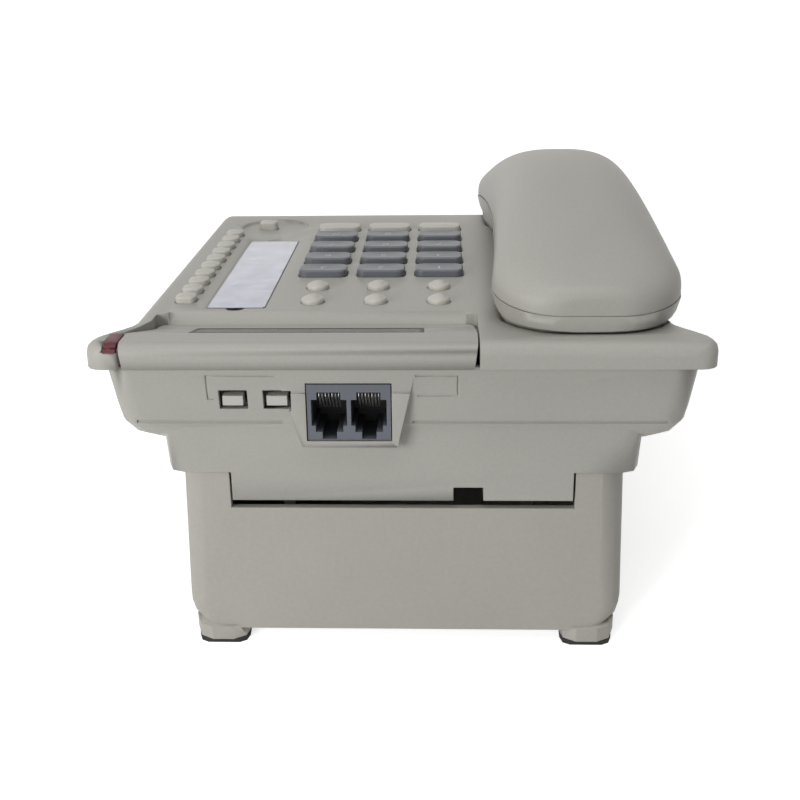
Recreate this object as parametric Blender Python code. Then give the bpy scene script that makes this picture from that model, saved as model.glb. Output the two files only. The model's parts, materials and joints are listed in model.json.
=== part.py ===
"""Corded desk telephone: sloping key deck, tilting display, wedge stand and lift-off handset.

Sizes are in metres. The telephone is modelled in its own frame, with +X to the user's right, +Y towards
the rear wall that carries the line jacks, and +Z square to the key deck, whose flat top is z = 0 and whose
rear edge is y = 0. One empty leans that frame back on the stand and centres it on the world's origin.
"""

import math

import bmesh
import bpy
from mathutils import Matrix, Vector

# Fits
GAP = 0.0003
KEY_CLEARANCE = 0.00035
WALL = 0.0022

# Key deck, seen from above
SIDE_HALF = 0.0803
WING_FLARE = 0.0092
WING_HALF = SIDE_HALF + WING_FLARE
DEPTH = 0.200
WING_BEGINS = 0.006
WING_ENDS = 0.023
REAR_CORNER = 0.005
FRONT_CORNER = 0.014
STATION_SPACING = 0.001
DECK_FRONT_SLOPE = 0.0294
DECK_FLAT_END = DEPTH - DECK_FRONT_SLOPE
DECK_FRONT_DROP = 0.0095
RIM_HEIGHT = 0.0074
RIM_FILLET = 0.0035
DECK_SIDE_FILLET = 0.003

# Lower case
CASE_INSET = 0.0027
CASE_REAR = 0.003
CASE_CORNER = 0.009
CASE_DRAFT = 0.0019
CASE_DRAFT_HEIGHT = 0.0133
ROLL_WIDTH = 0.0124
ROLL_HEIGHT = 0.013
LEAST_ROLL = 0.004
TIER_REAR = 0.007
TIER_FRONT_STEP = 0.019
TIER_FRONT = DEPTH - TIER_FRONT_STEP
TIER_SIDE_STEP = 0.0083
TIER_HALF = SIDE_HALF - TIER_SIDE_STEP
TIER_BOTTOM = 0.0422
TIER_DRAFT = 0.0015
TIER_CORNER = 0.006
HUMP_SIDE_STEP = 0.021
HUMP_HALF = TIER_HALF - HUMP_SIDE_STEP
HUMP_BOTTOM = 0.0513
HUMP_DEPTH = 0.026
CORD_NOTCH_X = -0.0199
CORD_NOTCH_WIDTH = 0.009
CORD_NOTCH_HEIGHT = 0.0043

# Stand and feet
LEAN = math.radians(18.0)
STAND_SIDE_STEP = 0.0055
STAND_HALF_TOP = TIER_HALF - STAND_SIDE_STEP
STAND_FLARE = 0.0013
STAND_HALF_BOTTOM = STAND_HALF_TOP + STAND_FLARE
STAND_REAR = 0.0075
STAND_FRONT = 0.118
STAND_WALL = 0.0024
STAND_CORNER = 0.007
STAND_FOOT_HEIGHT = 0.0052
STAND_SLOT = 0.0028
FOOT_INSET = 0.0095
FOOT_X = STAND_HALF_TOP - FOOT_INSET
FOOT_WIDTH = 0.0105
REAR_FOOT_Y = 0.0155
REAR_FOOT_LENGTH = 0.011
FOOT_CORNER = 0.002
REAR_PAD_HEIGHT = 0.0016
BOSS_MARGIN = 0.0035
FRONT_FOOT_INSET = 0.0075
FRONT_FOOT_Y = TIER_FRONT - FRONT_FOOT_INSET
FRONT_FOOT_LENGTH = 0.009
FRONT_FOOT_HEIGHT = 0.00518
FLOOR_MEASURED_AT = 0.010
FLOOR_DROP_AT_REAR = TIER_BOTTOM + FRONT_FOOT_HEIGHT + (FRONT_FOOT_Y - FLOOR_MEASURED_AT) * math.tan(LEAN)
KEYHOLE_FROM_FOOT = 0.0155
KEYHOLE_X = FOOT_X - KEYHOLE_FROM_FOOT
KEYHOLE_Y = 0.066
KEYHOLE_HEAD = 0.0092
KEYHOLE_NECK = 0.0044
KEYHOLE_LENGTH = 0.010

# Places across the deck: the handset at the left, the key field, the index card, the one-touch keys
HANDSET_FROM_SIDE = 0.0256
HANDSET_X = HANDSET_FROM_SIDE - SIDE_HALF
HANDSET_END_HALF = 0.0282
TOUCH_KEY_FROM_SIDE = 0.0113
TOUCH_KEY_X = SIDE_HALF - TOUCH_KEY_FROM_SIDE
CARD_BESIDE_KEYS = 0.0077
CARD_WIDTH = 0.0185
CARD_RIGHT = TOUCH_KEY_X - CARD_BESIDE_KEYS
CARD_LEFT = CARD_RIGHT - CARD_WIDTH
FIELD_BESIDE_HANDSET = 0.0056
FIELD_BESIDE_CARD = 0.0043
FIELD_LEFT = HANDSET_X + HANDSET_END_HALF + FIELD_BESIDE_HANDSET
FIELD_RIGHT = CARD_LEFT - FIELD_BESIDE_CARD

# Display unit
DISPLAY_FROM_WING = 0.0098
DISPLAY_BESIDE_HANDSET = 0.0042
DISPLAY_RIGHT = WING_HALF - DISPLAY_FROM_WING
DISPLAY_LEFT = HANDSET_X + HANDSET_END_HALF + DISPLAY_BESIDE_HANDSET
DISPLAY_DEPTH = 0.030
DISPLAY_CORNER = 0.003
DISPLAY_DRAFT = 0.0011
WELL_CORNER = 0.0006
DISPLAY_MARGIN = 0.0056
DISPLAY_RIDGE = 0.0113
DISPLAY_FALL = math.radians(11.9)
DISPLAY_FACE = 0.015
DISPLAY_GAP = 0.0004
DISPLAY_LIP = 0.0006
RAMP_LENGTH = 0.0030
WINDOW_LEFT_FRAME = 0.0157
WINDOW_RIGHT_FRAME = 0.0181
WINDOW_LEFT = DISPLAY_LEFT + WINDOW_LEFT_FRAME
WINDOW_RIGHT = DISPLAY_RIGHT - WINDOW_RIGHT_FRAME
WINDOW_START = 0.0011
WINDOW_LENGTH = 0.0130
WINDOW_THICKNESS = 0.0009
WINDOW_LEDGE = 0.0011
LCD_HEIGHT = 0.0026
LCD_SIDE_MARGIN = 0.0035
LCD_REAR_MARGIN = 0.004
LCD_FRONT_MARGIN = 0.0008
TOE_ANGLES = (0.35, 0.8, 1.25)
TOE_SHARE = 0.92
HINGE_BACK_FROM_FRONT = 0.0022
HINGE_RISE = 0.0024
HINGE_PIN_RADIUS = 0.0010
HINGE_PIN_REACH = 0.0015
HINGE_PIN_LENGTH = 0.004
LAMP_WIDTH = 0.0034
LAMP_LENGTH = 0.011
LAMP_DROP = 0.0024
LAMP_THICKNESS = 0.0017

# Keys
KEY_FLANGE = 0.0009
FLANGE_THICKNESS = 0.0010
KEY_TRAVEL = 0.0015
KEY_SPARE_TRAVEL = 0.001
COLUMN_X = (FIELD_LEFT + FIELD_RIGHT) / 2
COLUMN_PITCH = (FIELD_RIGHT - FIELD_LEFT) / 3
COLUMN_SPACE = 0.0036
DIAL_KEY_WIDTH = COLUMN_PITCH - COLUMN_SPACE
DIAL_KEY_HEIGHT = 0.0024
DIAL_KEY_CORNER = 0.002
DIAL_FIRST_ROW = 0.0785
DIAL_ROWS = 4
WIDE_KEY_FROM_SLOPE = 0.0236
WIDE_KEY_Y = DECK_FLAT_END - WIDE_KEY_FROM_SLOPE
WIDE_KEY_FROM_DIAL = 0.01645
DIAL_ROW_PITCH = (WIDE_KEY_Y - WIDE_KEY_FROM_DIAL - DIAL_FIRST_ROW) / (DIAL_ROWS - 1)
DIAL_ROW_SPACE = 0.00755
DIAL_KEY_DEPTH = DIAL_ROW_PITCH - DIAL_ROW_SPACE
DIAL_NAMES = ("1", "2", "3", "4", "5", "6", "7", "8", "9", "star", "0", "hash")
WIDE_KEY_DEPTH = 0.0076
ROUND_KEY_DIAMETER = 0.0072
ROUND_KEY_HEIGHT = 0.0026
ROUND_KEY_FIRST = 0.0435
ROUND_KEY_PITCH = 0.0165
SMALL_KEY_CORNER = 0.001
SPEAKER_FROM_TOUCH_KEYS = 0.0110
SPEAKER_FROM_SLOPE = 0.0161
SPEAKER_KEY_X = TOUCH_KEY_X - SPEAKER_FROM_TOUCH_KEYS
SPEAKER_KEY_Y = DECK_FLAT_END - SPEAKER_FROM_SLOPE
SPEAKER_KEY_WIDTH = 0.0070
SPEAKER_KEY_DEPTH = 0.0052
SPEAKER_DISH_OFFSET = (-0.0026, -0.0003)
SPEAKER_DISH_X = SPEAKER_KEY_X + SPEAKER_DISH_OFFSET[0]
SPEAKER_DISH_Y = SPEAKER_KEY_Y + SPEAKER_DISH_OFFSET[1]
TOUCH_KEY_COUNT = 10
TOUCH_KEY_FIRST = 0.0455
TOUCH_KEY_FROM_SPEAKER = 0.0163
TOUCH_KEY_LAST = SPEAKER_KEY_Y - TOUCH_KEY_FROM_SPEAKER
TOUCH_KEY_PITCH = (TOUCH_KEY_LAST - TOUCH_KEY_FIRST) / (TOUCH_KEY_COUNT - 1)
TOUCH_KEY_SPACE = 0.0043
TOUCH_KEY_DEPTH = TOUCH_KEY_PITCH - TOUCH_KEY_SPACE
TOUCH_KEY_WIDTH = 0.0064
SPEAKER_DISH_RADIUS = 0.0136
SPEAKER_DISH_DEPTH = 0.0011

# Index card
CARD_REAR = 0.0370
CARD_FROM_DISH = 0.0126
CARD_FRONT = SPEAKER_DISH_Y - SPEAKER_DISH_RADIUS - CARD_FROM_DISH
CARD_THICKNESS = 0.0004
CARD_COVER_THICKNESS = 0.0009
CARD_NOTCH = 0.0060
CARD_CORNER = 0.0006

# Inner boards
POST_RADIUS = 0.0018
KEYPAD_THICKNESS = 0.0012
BOARD_THICKNESS = 0.0016
BOARD_MARGIN = 0.004
POST_STAND_OFF = 0.0055

# Line jacks and slide switches in the rear wall
JACK_X = 0.0148
JACK_PITCH = 0.0115
JACK_TOP = 0.0130
JACK_BOTTOM = 0.0301
JACK_LENGTH = 0.0138
JACK_BAY_DEPTH = 0.030
JACK_SIDE = 0.00122
JACK_WIDTH = 0.0103
JACK_COMB_TOP = 0.0154
JACK_COMB_BOTTOM = 0.01765
JACK_FLOOR = 0.0257
JACK_STEP_WIDTHS = (0.0080, 0.0042)
JACK_STEP_DROPS = (0.0019, 0.0041)
WIRE_COUNT = 4
WIRE_PITCH = 0.0019
WIRE_SIZE = 0.0005
LABEL_X = 0.0232
LABEL_Z = 0.0128
LABEL_WIDTH = 0.0700
LABEL_HEIGHT = 0.0056
LABEL_DEPTH = 0.0005
INSERT_THICKNESS = 0.0015
WIRE_FRONT = 0.0012
WIRE_END = 0.0095
WIRE_REACH = 0.0030
SWITCH_KNOB_RECESS = 0.0006
HOOD_TOP = 0.0102
HOOD_BOTTOM = 0.0323
HOOD_TOP_LEFT = -0.0042
HOOD_TOP_RIGHT = 0.0355
HOOD_BOTTOM_LEFT = 0.0009
HOOD_BOTTOM_RIGHT = 0.0286
HOOD_DEPTH = 0.0110
SWITCH_X = (0.0355, 0.0483)
SWITCH_Z = 0.0180
SWITCH_OPENING_WIDTH = 0.0083
SWITCH_OPENING_HEIGHT = 0.0060
SWITCH_KNOB_WIDTH = 0.0059
SWITCH_KNOB_HEIGHT = 0.0029
SWITCH_STEM = 0.0026
SWITCH_TRAVEL = 0.0010
SWITCH_DEPTH = 0.0045
SWITCH_SET_BACK = 0.0078

# Handset
HANDSET_REAR = 0.0090
HANDSET_SHORTER = 0.014
HANDSET_LENGTH = DEPTH - HANDSET_SHORTER
HANDSET_GRIP_HALF = 0.0250
HANDSET_END_TOP = 0.0126
HANDSET_ARCH_TOP = 0.0360
HANDSET_PLAN_RADIUS = 0.020
HANDSET_END_FILLET = 0.0026
HANDSET_SEAM_END = 0.0053
HANDSET_SEAM_GRIP = 0.0135
CAP_DROP = 0.0060
CAP_LENGTH = 0.0500
CAP_REAR = 0.0115
CAP_HALF = 0.0260
CAP_RADIUS = 0.0185
CAP_DRAFT = 0.0040
HANDSET_UNDER = 0.0007
HANDSET_GRIP_UNDER = 0.0080
HANDSET_UNDER_SLOPE = 0.013
HANDSET_WALL = 0.0020
HANDSET_FACE_TAPER = 0.0022
HANDSET_REVEAL = 0.0004
HANDSET_CROWN_ANGLES = (18, 34, 50, 64, 77, 87)
HANDSET_ROUNDING = (0.0, 0.02, 0.08, 0.2, 0.4, 0.65, 1.0)
HANDSET_SIDE_STATIONS = (0.034, 0.047)
HANDSET_SOCKET_Z = 0.0050
HANDSET_SOCKET_DEPTH = 0.0064
HANDSET_BOW = 3.3
CRADLE_CLEARANCE = 0.0011
CRADLE_FOOT = -RIM_HEIGHT + GAP / 2
PLUNGER_WIDTH = 0.0075
PLUNGER_LENGTH = 0.0110
PLUNGER_CORNER = 0.0015
PLUNGER_BEVEL = 0.0005
PLUNGER_RISE = 0.0040
PLUNGER_Y = 0.0300
RECEIVER_RADIUS = 0.0160
RECEIVER_HEIGHT = 0.0070
MICROPHONE_RADIUS = 0.0050
MICROPHONE_HEIGHT = 0.0050

# Small cord jacks, one in the base's side wall and one in the handset's end
CORD_JACK_WIDTH = 0.0110
CORD_JACK_HEIGHT = 0.0082
CORD_JACK_LENGTH = 0.0125
CORD_JACK_BORE_WIDTH = 0.0077
CORD_JACK_BORE_HEIGHT = 0.0066
CORD_JACK_BORE_LENGTH = 0.0105
CORD_JACK_KEY = 0.0004
CORD_JACK_RECESS = 0.0006
BASE_JACK_Y = 0.150
BASE_JACK_Z = 0.0190

# Loudspeaker in the floor of the lower case
LOUDSPEAKER_X = 0.030
LOUDSPEAKER_FROM_TIER_FRONT = 0.034
LOUDSPEAKER_Y = TIER_FRONT - LOUDSPEAKER_FROM_TIER_FRONT
LOUDSPEAKER_RADIUS = 0.025
LOUDSPEAKER_HEIGHT = 0.012
LOUDSPEAKER_RIM = 0.0022
LOUDSPEAKER_CONE_LIFT = 0.0015
GRILLE_SLOTS = 7
GRILLE_PITCH = 0.0055
GRILLE_SLOT_WIDTH = 0.0022

CUT = 0.001


# ---------------------------------------------------------------------------------------------------
# Building blocks


def finish(name, colour, roughness, metallic=0.0, alpha=1.0):
    """A Principled material for one sub-part."""
    material = bpy.data.materials.new(name)
    material.use_nodes = True
    shader = material.node_tree.nodes["Principled BSDF"]
    shader.inputs["Base Color"].default_value = (*colour, 1.0)
    shader.inputs["Roughness"].default_value = roughness
    shader.inputs["Metallic"].default_value = metallic
    shader.inputs["Alpha"].default_value = alpha
    return material


def place(name, bm, material, origin=(0.0, 0.0, 0.0)):
    """Turns a bmesh drawn in the telephone's frame into an object whose origin is the given point."""
    bmesh.ops.recalc_face_normals(bm, faces=bm.faces)
    bmesh.ops.translate(bm, verts=bm.verts, vec=-Vector(origin))
    mesh = bpy.data.meshes.new(name)
    bm.to_mesh(mesh)
    bm.free()
    obj = bpy.data.objects.new(name, mesh)
    obj.location = origin
    obj.parent = bpy.data.objects["telephone_frame"]
    bpy.context.collection.objects.link(obj)
    if material is None:
        obj.hide_render = True
        obj.display_type = "WIRE"
    else:
        mesh.materials.append(material)
        mesh.shade_smooth()
        mesh.set_sharp_from_angle(angle=math.radians(32))
    return obj


def combine(target, operation, tool):
    """Adds one Boolean of the target with a hidden tool."""
    modifier = target.modifiers.new(tool.name, "BOOLEAN")
    modifier.operation = operation
    modifier.solver = "EXACT"
    modifier.object = tool


def skin(bm, loops):
    """Joins closed loops of equal length into one solid with flat ends."""
    rings = [[bm.verts.new(point) for point in loop] for loop in loops]
    count = len(rings[0])
    for low, high in zip(rings, rings[1:]):
        for i in range(count):
            j = (i + 1) % count
            bm.faces.new((low[i], low[j], high[j], high[i]))
    bm.faces.new(rings[0])
    bm.faces.new(rings[-1])


def mirrored_loft(stations, centre_x=0.0):
    """A solid from half profiles of (half width, y, z), each mirrored about the plane x = centre_x."""
    bm = bmesh.new()
    lefts = [[bm.verts.new((centre_x - h, y, z)) for h, y, z in half] for half in stations]
    rights = [[bm.verts.new((centre_x + h, y, z)) for h, y, z in half] for half in stations]
    steps = range(len(stations[0]) - 1)
    for side in (lefts, rights):
        for near, far in zip(side, side[1:]):
            for i in steps:
                bm.faces.new((near[i], near[i + 1], far[i + 1], far[i]))
    for k in range(len(stations) - 1):
        for edge in (0, -1):
            corners = (lefts[k][edge], lefts[k + 1][edge], rights[k + 1][edge], rights[k][edge])
            bm.faces.new(corners)
    for end in (0, -1):
        for i in steps:
            corners = (lefts[end][i], lefts[end][i + 1], rights[end][i + 1], rights[end][i])
            bm.faces.new(corners)
    return bm


def rounded_rectangle(width, depth, radius, centre=(0.0, 0.0), points=3):
    """Plan points of a rectangle whose corners are arcs of the given number of points."""
    outline = []
    corners = ((1, 1), (-1, 1), (-1, -1), (1, -1))
    for quarter, (sx, sy) in enumerate(corners):
        for k in range(points):
            angle = math.radians(90) * (quarter + k / (points - 1))
            x = centre[0] + sx * (width / 2 - radius) + radius * math.cos(angle)
            y = centre[1] + sy * (depth / 2 - radius) + radius * math.sin(angle)
            outline.append((x, y))
    return outline


def circle(radius, centre, count):
    """Plan points of a circle."""
    turns = [2 * math.pi * k / count for k in range(count)]
    return [(centre[0] + radius * math.cos(a), centre[1] + radius * math.sin(a)) for a in turns]


def add_prism(bm, outline, low, high):
    """Adds a plan outline drawn up from z = low to z = high."""
    skin(bm, [[(x, y, z) for x, y in outline] for z in (low, high)])


def add_box(bm, low, high):
    """Adds a box between two opposite corners."""
    outline = [(low[0], low[1]), (high[0], low[1]), (high[0], high[1]), (low[0], high[1])]
    add_prism(bm, outline, low[2], high[2])


def box(low, high):
    """A new bmesh that holds one box."""
    bm = bmesh.new()
    add_box(bm, low, high)
    return bm


def add_bar(bm, outline, left, right):
    """Adds a side profile of (y, z) points drawn along X from left to right."""
    skin(bm, [[(x, y, z) for y, z in outline] for x in (left, right)])


def floor_z(y):
    """Height, in the telephone's frame, of the table under the depth y."""
    return -FLOOR_DROP_AT_REAR - y * math.tan(LEAN) - FLOOR_MEASURED_AT * math.tan(LEAN)


def arc_steps(count):
    """Angles from 0 to 90 degrees in equal steps."""
    return [math.radians(90) * k / count for k in range(count + 1)]


def corner_inset(radius, distance):
    """How far an arc of this radius lies inside the corner, at a distance from its end."""
    if distance >= radius:
        return 0.0
    return radius - math.sqrt(max(radius**2 - (radius - distance) ** 2, 0.0))


# ---------------------------------------------------------------------------------------------------
# Casing


def deck_half_width(back):
    """Half the deck's width at a distance in front of its rear edge, without the corner arcs."""
    share = min(max((back - WING_BEGINS) / (WING_ENDS - WING_BEGINS), 0.0), 1.0)
    return WING_HALF + (SIDE_HALF - WING_HALF) * share * share * (3 - 2 * share)


def deck_top(back):
    """Height of the deck's top surface at a distance in front of its rear edge."""
    over = max(back - DECK_FLAT_END, 0.0) / (DEPTH - DECK_FLAT_END)
    return -DECK_FRONT_DROP * over * over


def deck_backs(first, last, rear_radius):
    """Distances from the rear edge at which the casing is drawn."""
    rear = [first + rear_radius * (1 - math.cos(a)) for a in arc_steps(4)]
    wing = [WING_BEGINS + (WING_ENDS - WING_BEGINS) * k / 5 for k in range(6)]
    front = [last - FRONT_CORNER * (1 - math.sin(a)) for a in arc_steps(4)]
    slope = [DECK_FLAT_END, (DECK_FLAT_END + last - FRONT_CORNER) / 2]
    low, high = rear[-1] + STATION_SPACING, front[0] - STATION_SPACING
    middle = [b for b in wing + slope if low < b < high]
    return rear + middle + front


def deck_stations(inset, bottom_extra):
    """Half profiles of the key deck, shrunk by an inset, with side walls that reach past the rim."""
    stations = []
    radius = REAR_CORNER
    for back in deck_backs(inset, DEPTH - inset, radius):
        width = deck_half_width(back) - inset
        width -= corner_inset(radius, back - inset)
        width -= corner_inset(FRONT_CORNER, DEPTH - inset - back)
        top = deck_top(back) - inset - corner_inset(RIM_FILLET, back - inset)
        low = deck_top(back) - RIM_HEIGHT - bottom_extra
        fillet = min(DECK_SIDE_FILLET, (top - low) * 0.9)
        half = [(width, -back, low)]
        for a in arc_steps(3):
            half.append((width - fillet * (1 - math.cos(a)), -back, top - fillet * (1 - math.sin(a))))
        stations.append(half)
    return stations


def case_stations(inset, top_extra):
    """Half profiles of the lower case: draughted walls that roll under into a flat bottom."""
    stations = []
    first = CASE_REAR + inset
    last = DEPTH - CASE_INSET - inset
    fade = 3 * ROLL_WIDTH
    for back in deck_backs(first, last, CASE_CORNER):
        width = deck_half_width(back) - CASE_INSET - inset
        roll = min(ROLL_WIDTH, max(width + inset - TIER_HALF, LEAST_ROLL))
        width -= corner_inset(CASE_CORNER, back - first)
        width -= corner_inset(FRONT_CORNER, last - back)
        lean = max(1 - (back - first) / fade, 0.0)
        front_lean = max(1 - (last - back) / fade, 0.0)
        top = deck_top(back) - RIM_HEIGHT - GAP
        half = [(width, -back, top + top_extra)]
        if top_extra > 0:
            half.append((width, -back, top))
        for a in arc_steps(4):
            inward = CASE_DRAFT + roll * (1 - math.cos(a))
            z = -RIM_HEIGHT - GAP - CASE_DRAFT_HEIGHT - (ROLL_HEIGHT - inset) * math.sin(a)
            shift = inward * lean - (CASE_DRAFT + 2 * ROLL_WIDTH * (1 - math.cos(a))) * front_lean
            half.append((width - inward, -back - shift, z))
        stations.append(half)
    return stations


def tier_loft(inset):
    """The narrower lower tier under the case, which the stand clips to."""
    width = TIER_HALF - inset
    top = -RIM_HEIGHT - GAP - CASE_DRAFT_HEIGHT - inset
    bottom = -TIER_BOTTOM + inset
    outlines = []
    for z, draft in ((top, 0.0), (bottom, TIER_DRAFT)):
        rear, front = -TIER_REAR - inset, -TIER_FRONT + inset + draft * 4
        size = (2 * (width - draft), rear - front)
        plan = rounded_rectangle(*size, TIER_CORNER, (0.0, (rear + front) / 2), 3)
        outlines.append([(x, y, z) for x, y in plan])
    bm = bmesh.new()
    skin(bm, outlines)
    return bm


def display_right(back, margin):
    """Right edge of the display unit, which follows the wing's curve at a margin."""
    return min(DISPLAY_RIGHT + DISPLAY_MARGIN - margin, deck_half_width(back) - margin)


def display_plan(grow, rear, corner, margin=DISPLAY_MARGIN):
    """Plan of the display unit or its well: straight left edge, right edge along the wing, front corners."""
    left = DISPLAY_LEFT - grow
    front = DISPLAY_DEPTH + grow
    radius = corner + grow
    plan = [(left, rear)]
    for a in arc_steps(4):
        plan.append((left + radius * (1 - math.cos(a)), -front + radius * (1 - math.sin(a))))
    for a in reversed(arc_steps(4)):
        back = front - radius * (1 - math.sin(a))
        right = display_right(back, margin - grow)
        plan.append((right - radius * (1 - math.cos(a)), -back))
    curve_start = front - radius
    for k in range(1, 5):
        back = curve_start + (WING_BEGINS - curve_start) * k / 4
        plan.append((display_right(back, margin - grow), -back))
    plan.append((display_right(0.0, margin - grow), rear))
    return plan


def hinge_axis():
    """(y, z) of the display's hinge pins."""
    return -DISPLAY_DEPTH + HINGE_BACK_FROM_FRONT, -RIM_HEIGHT + HINGE_RISE


def hinge_pin_spans(extra):
    """X ranges of the two hinge pins or, with extra clearance, of the holes that take them."""
    y = hinge_axis()[0]
    near_front = DISPLAY_DEPTH + y
    left = DISPLAY_LEFT + corner_inset(DISPLAY_CORNER, near_front)
    right = display_right(-y, DISPLAY_MARGIN) - corner_inset(DISPLAY_CORNER, near_front)
    reach = DISPLAY_GAP + HINGE_PIN_REACH + extra
    return (left - reach, left + HINGE_PIN_LENGTH), (right - HINGE_PIN_LENGTH, right + reach)


def add_hinge_pins(bm, radius, extra):
    """Adds the two short cylinders on the hinge axis."""
    y, z = hinge_axis()
    for left, right in hinge_pin_spans(extra):
        add_bar(bm, circle(radius, (y, z), 12), left, right)


def cap_plan(end, share, grow=0.0, draft_share=1.0):
    """Plan of a handset cap, 0 at its foot and 1 at the deck's level, at the rear end or the front end."""
    narrowing = CAP_DRAFT * (1 - share) * draft_share
    half = CAP_HALF - narrowing + grow
    length = CAP_LENGTH - narrowing * 2 + 2 * grow
    centre = -CAP_REAR - CAP_LENGTH / 2
    if end:
        centre = -2 * HANDSET_REAR - HANDSET_LENGTH - centre
    radius = CAP_RADIUS - narrowing + grow
    return rounded_rectangle(2 * half, length, radius, (HANDSET_X, centre), 5)


def cap_block(end, grow, foot, head):
    """Tapered block round a handset cap, from z = foot to z = head."""
    shares = [(z + CAP_DROP) / CAP_DROP for z in (foot, head)]
    loops = []
    for z, share in zip((foot, head), shares):
        plan = cap_plan(end, min(max(share, -1.0), 1.0), grow)
        loops.append([(x, y, z) for x, y in plan])
    bm = bmesh.new()
    skin(bm, loops)
    return bm


def key_places():
    """Name, tone, x, y, width, depth, corner radius, height and points per corner of every key."""
    places = []
    columns = [COLUMN_X + COLUMN_PITCH * k for k in (-1, 0, 1)]
    for index, name in enumerate(DIAL_NAMES):
        y = -DIAL_FIRST_ROW - DIAL_ROW_PITCH * (index // 3)
        size = (DIAL_KEY_WIDTH, DIAL_KEY_DEPTH, DIAL_KEY_CORNER, DIAL_KEY_HEIGHT, 3)
        places.append((f"dial_key_{name}", "dial", columns[index % 3], y, *size))
    for index, x in enumerate(columns):
        size = (DIAL_KEY_WIDTH, WIDE_KEY_DEPTH, DIAL_KEY_CORNER, DIAL_KEY_HEIGHT, 3)
        places.append((f"wide_key_{index + 1}", "light", x, -WIDE_KEY_Y, *size))
    diameter = ROUND_KEY_DIAMETER
    for row in range(2):
        y = -ROUND_KEY_FIRST - ROUND_KEY_PITCH * row
        for index, x in enumerate(columns):
            size = (diameter, diameter, diameter / 2, ROUND_KEY_HEIGHT, 4)
            places.append((f"round_key_{3 * row + index + 1}", "light", x, y, *size))
    for index in range(TOUCH_KEY_COUNT):
        y = -TOUCH_KEY_FIRST - TOUCH_KEY_PITCH * index
        size = (TOUCH_KEY_WIDTH, TOUCH_KEY_DEPTH, SMALL_KEY_CORNER, DIAL_KEY_HEIGHT, 2)
        places.append((f"one_touch_key_{index + 1}", "light", TOUCH_KEY_X, y, *size))
    size = (SPEAKER_KEY_WIDTH, SPEAKER_KEY_DEPTH, SMALL_KEY_CORNER, DIAL_KEY_HEIGHT, 2)
    places.append(("speaker_button", "light", SPEAKER_KEY_X, -SPEAKER_KEY_Y, *size))
    return places


def key_openings():
    """Tool with one straight-sided opening for each key."""
    bm = bmesh.new()
    for _, _, x, y, width, depth, radius, _, points in key_places():
        size = (width + 2 * KEY_CLEARANCE, depth + 2 * KEY_CLEARANCE, radius + KEY_CLEARANCE)
        add_prism(bm, rounded_rectangle(*size, (x, y), points), -3 * WALL, 2 * WALL)
    return bm


def lamp_profile(grow, thickness):
    """(y, z) profile of the ringer lamp's lens, wrapped over the rim's rear edge."""
    first = math.asin(1 - LAMP_DROP / RIM_FILLET)
    angles = [first + (math.radians(90) - first) * k / 4 for k in range(5)]
    outer_radius, inner_radius = RIM_FILLET + grow, RIM_FILLET - thickness
    outer, inner = (
        [(radius * math.cos(a) - RIM_FILLET, radius * math.sin(a) - RIM_FILLET) for a in angles]
        for radius in (outer_radius, inner_radius)
    )
    return [*outer, (-LAMP_LENGTH, grow), (-LAMP_LENGTH, -thickness), *reversed(inner)]


def board_posts():
    """Plan centres of the posts that hold the keypad board under the deck, those left of the keys first."""
    left = COLUMN_X - COLUMN_PITCH - DIAL_KEY_WIDTH / 2 - POST_STAND_OFF
    middle = (COLUMN_X + COLUMN_PITCH + DIAL_KEY_WIDTH / 2 + CARD_LEFT) / 2
    rear, front = -DIAL_FIRST_ROW + DIAL_KEY_DEPTH, -WIDE_KEY_Y
    beside_touch_keys = (TOUCH_KEY_X, -TOUCH_KEY_FIRST + TOUCH_KEY_DEPTH / 2 + KEY_FLANGE + 2 * POST_RADIUS)
    before_card = ((CARD_LEFT + CARD_RIGHT) / 2, -CARD_FRONT - WALL - 2 * POST_RADIUS)
    return [*((x, y) for x in (left, middle) for y in (rear, front)), beside_touch_keys, before_card]


def keypad_levels():
    """Heights of the keypad sheet's top, the board's top and the board's underside."""
    sheet = -WALL - GAP - FLANGE_THICKNESS - KEY_TRAVEL - KEY_SPARE_TRAVEL
    board = sheet - KEYPAD_THICKNESS - GAP
    return sheet, board, board - BOARD_THICKNESS


def card_recess_depth():
    """Depth of the recess that holds the index card and its clear cover."""
    return 2 * GAP + CARD_THICKNESS + CARD_COVER_THICKNESS


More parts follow.
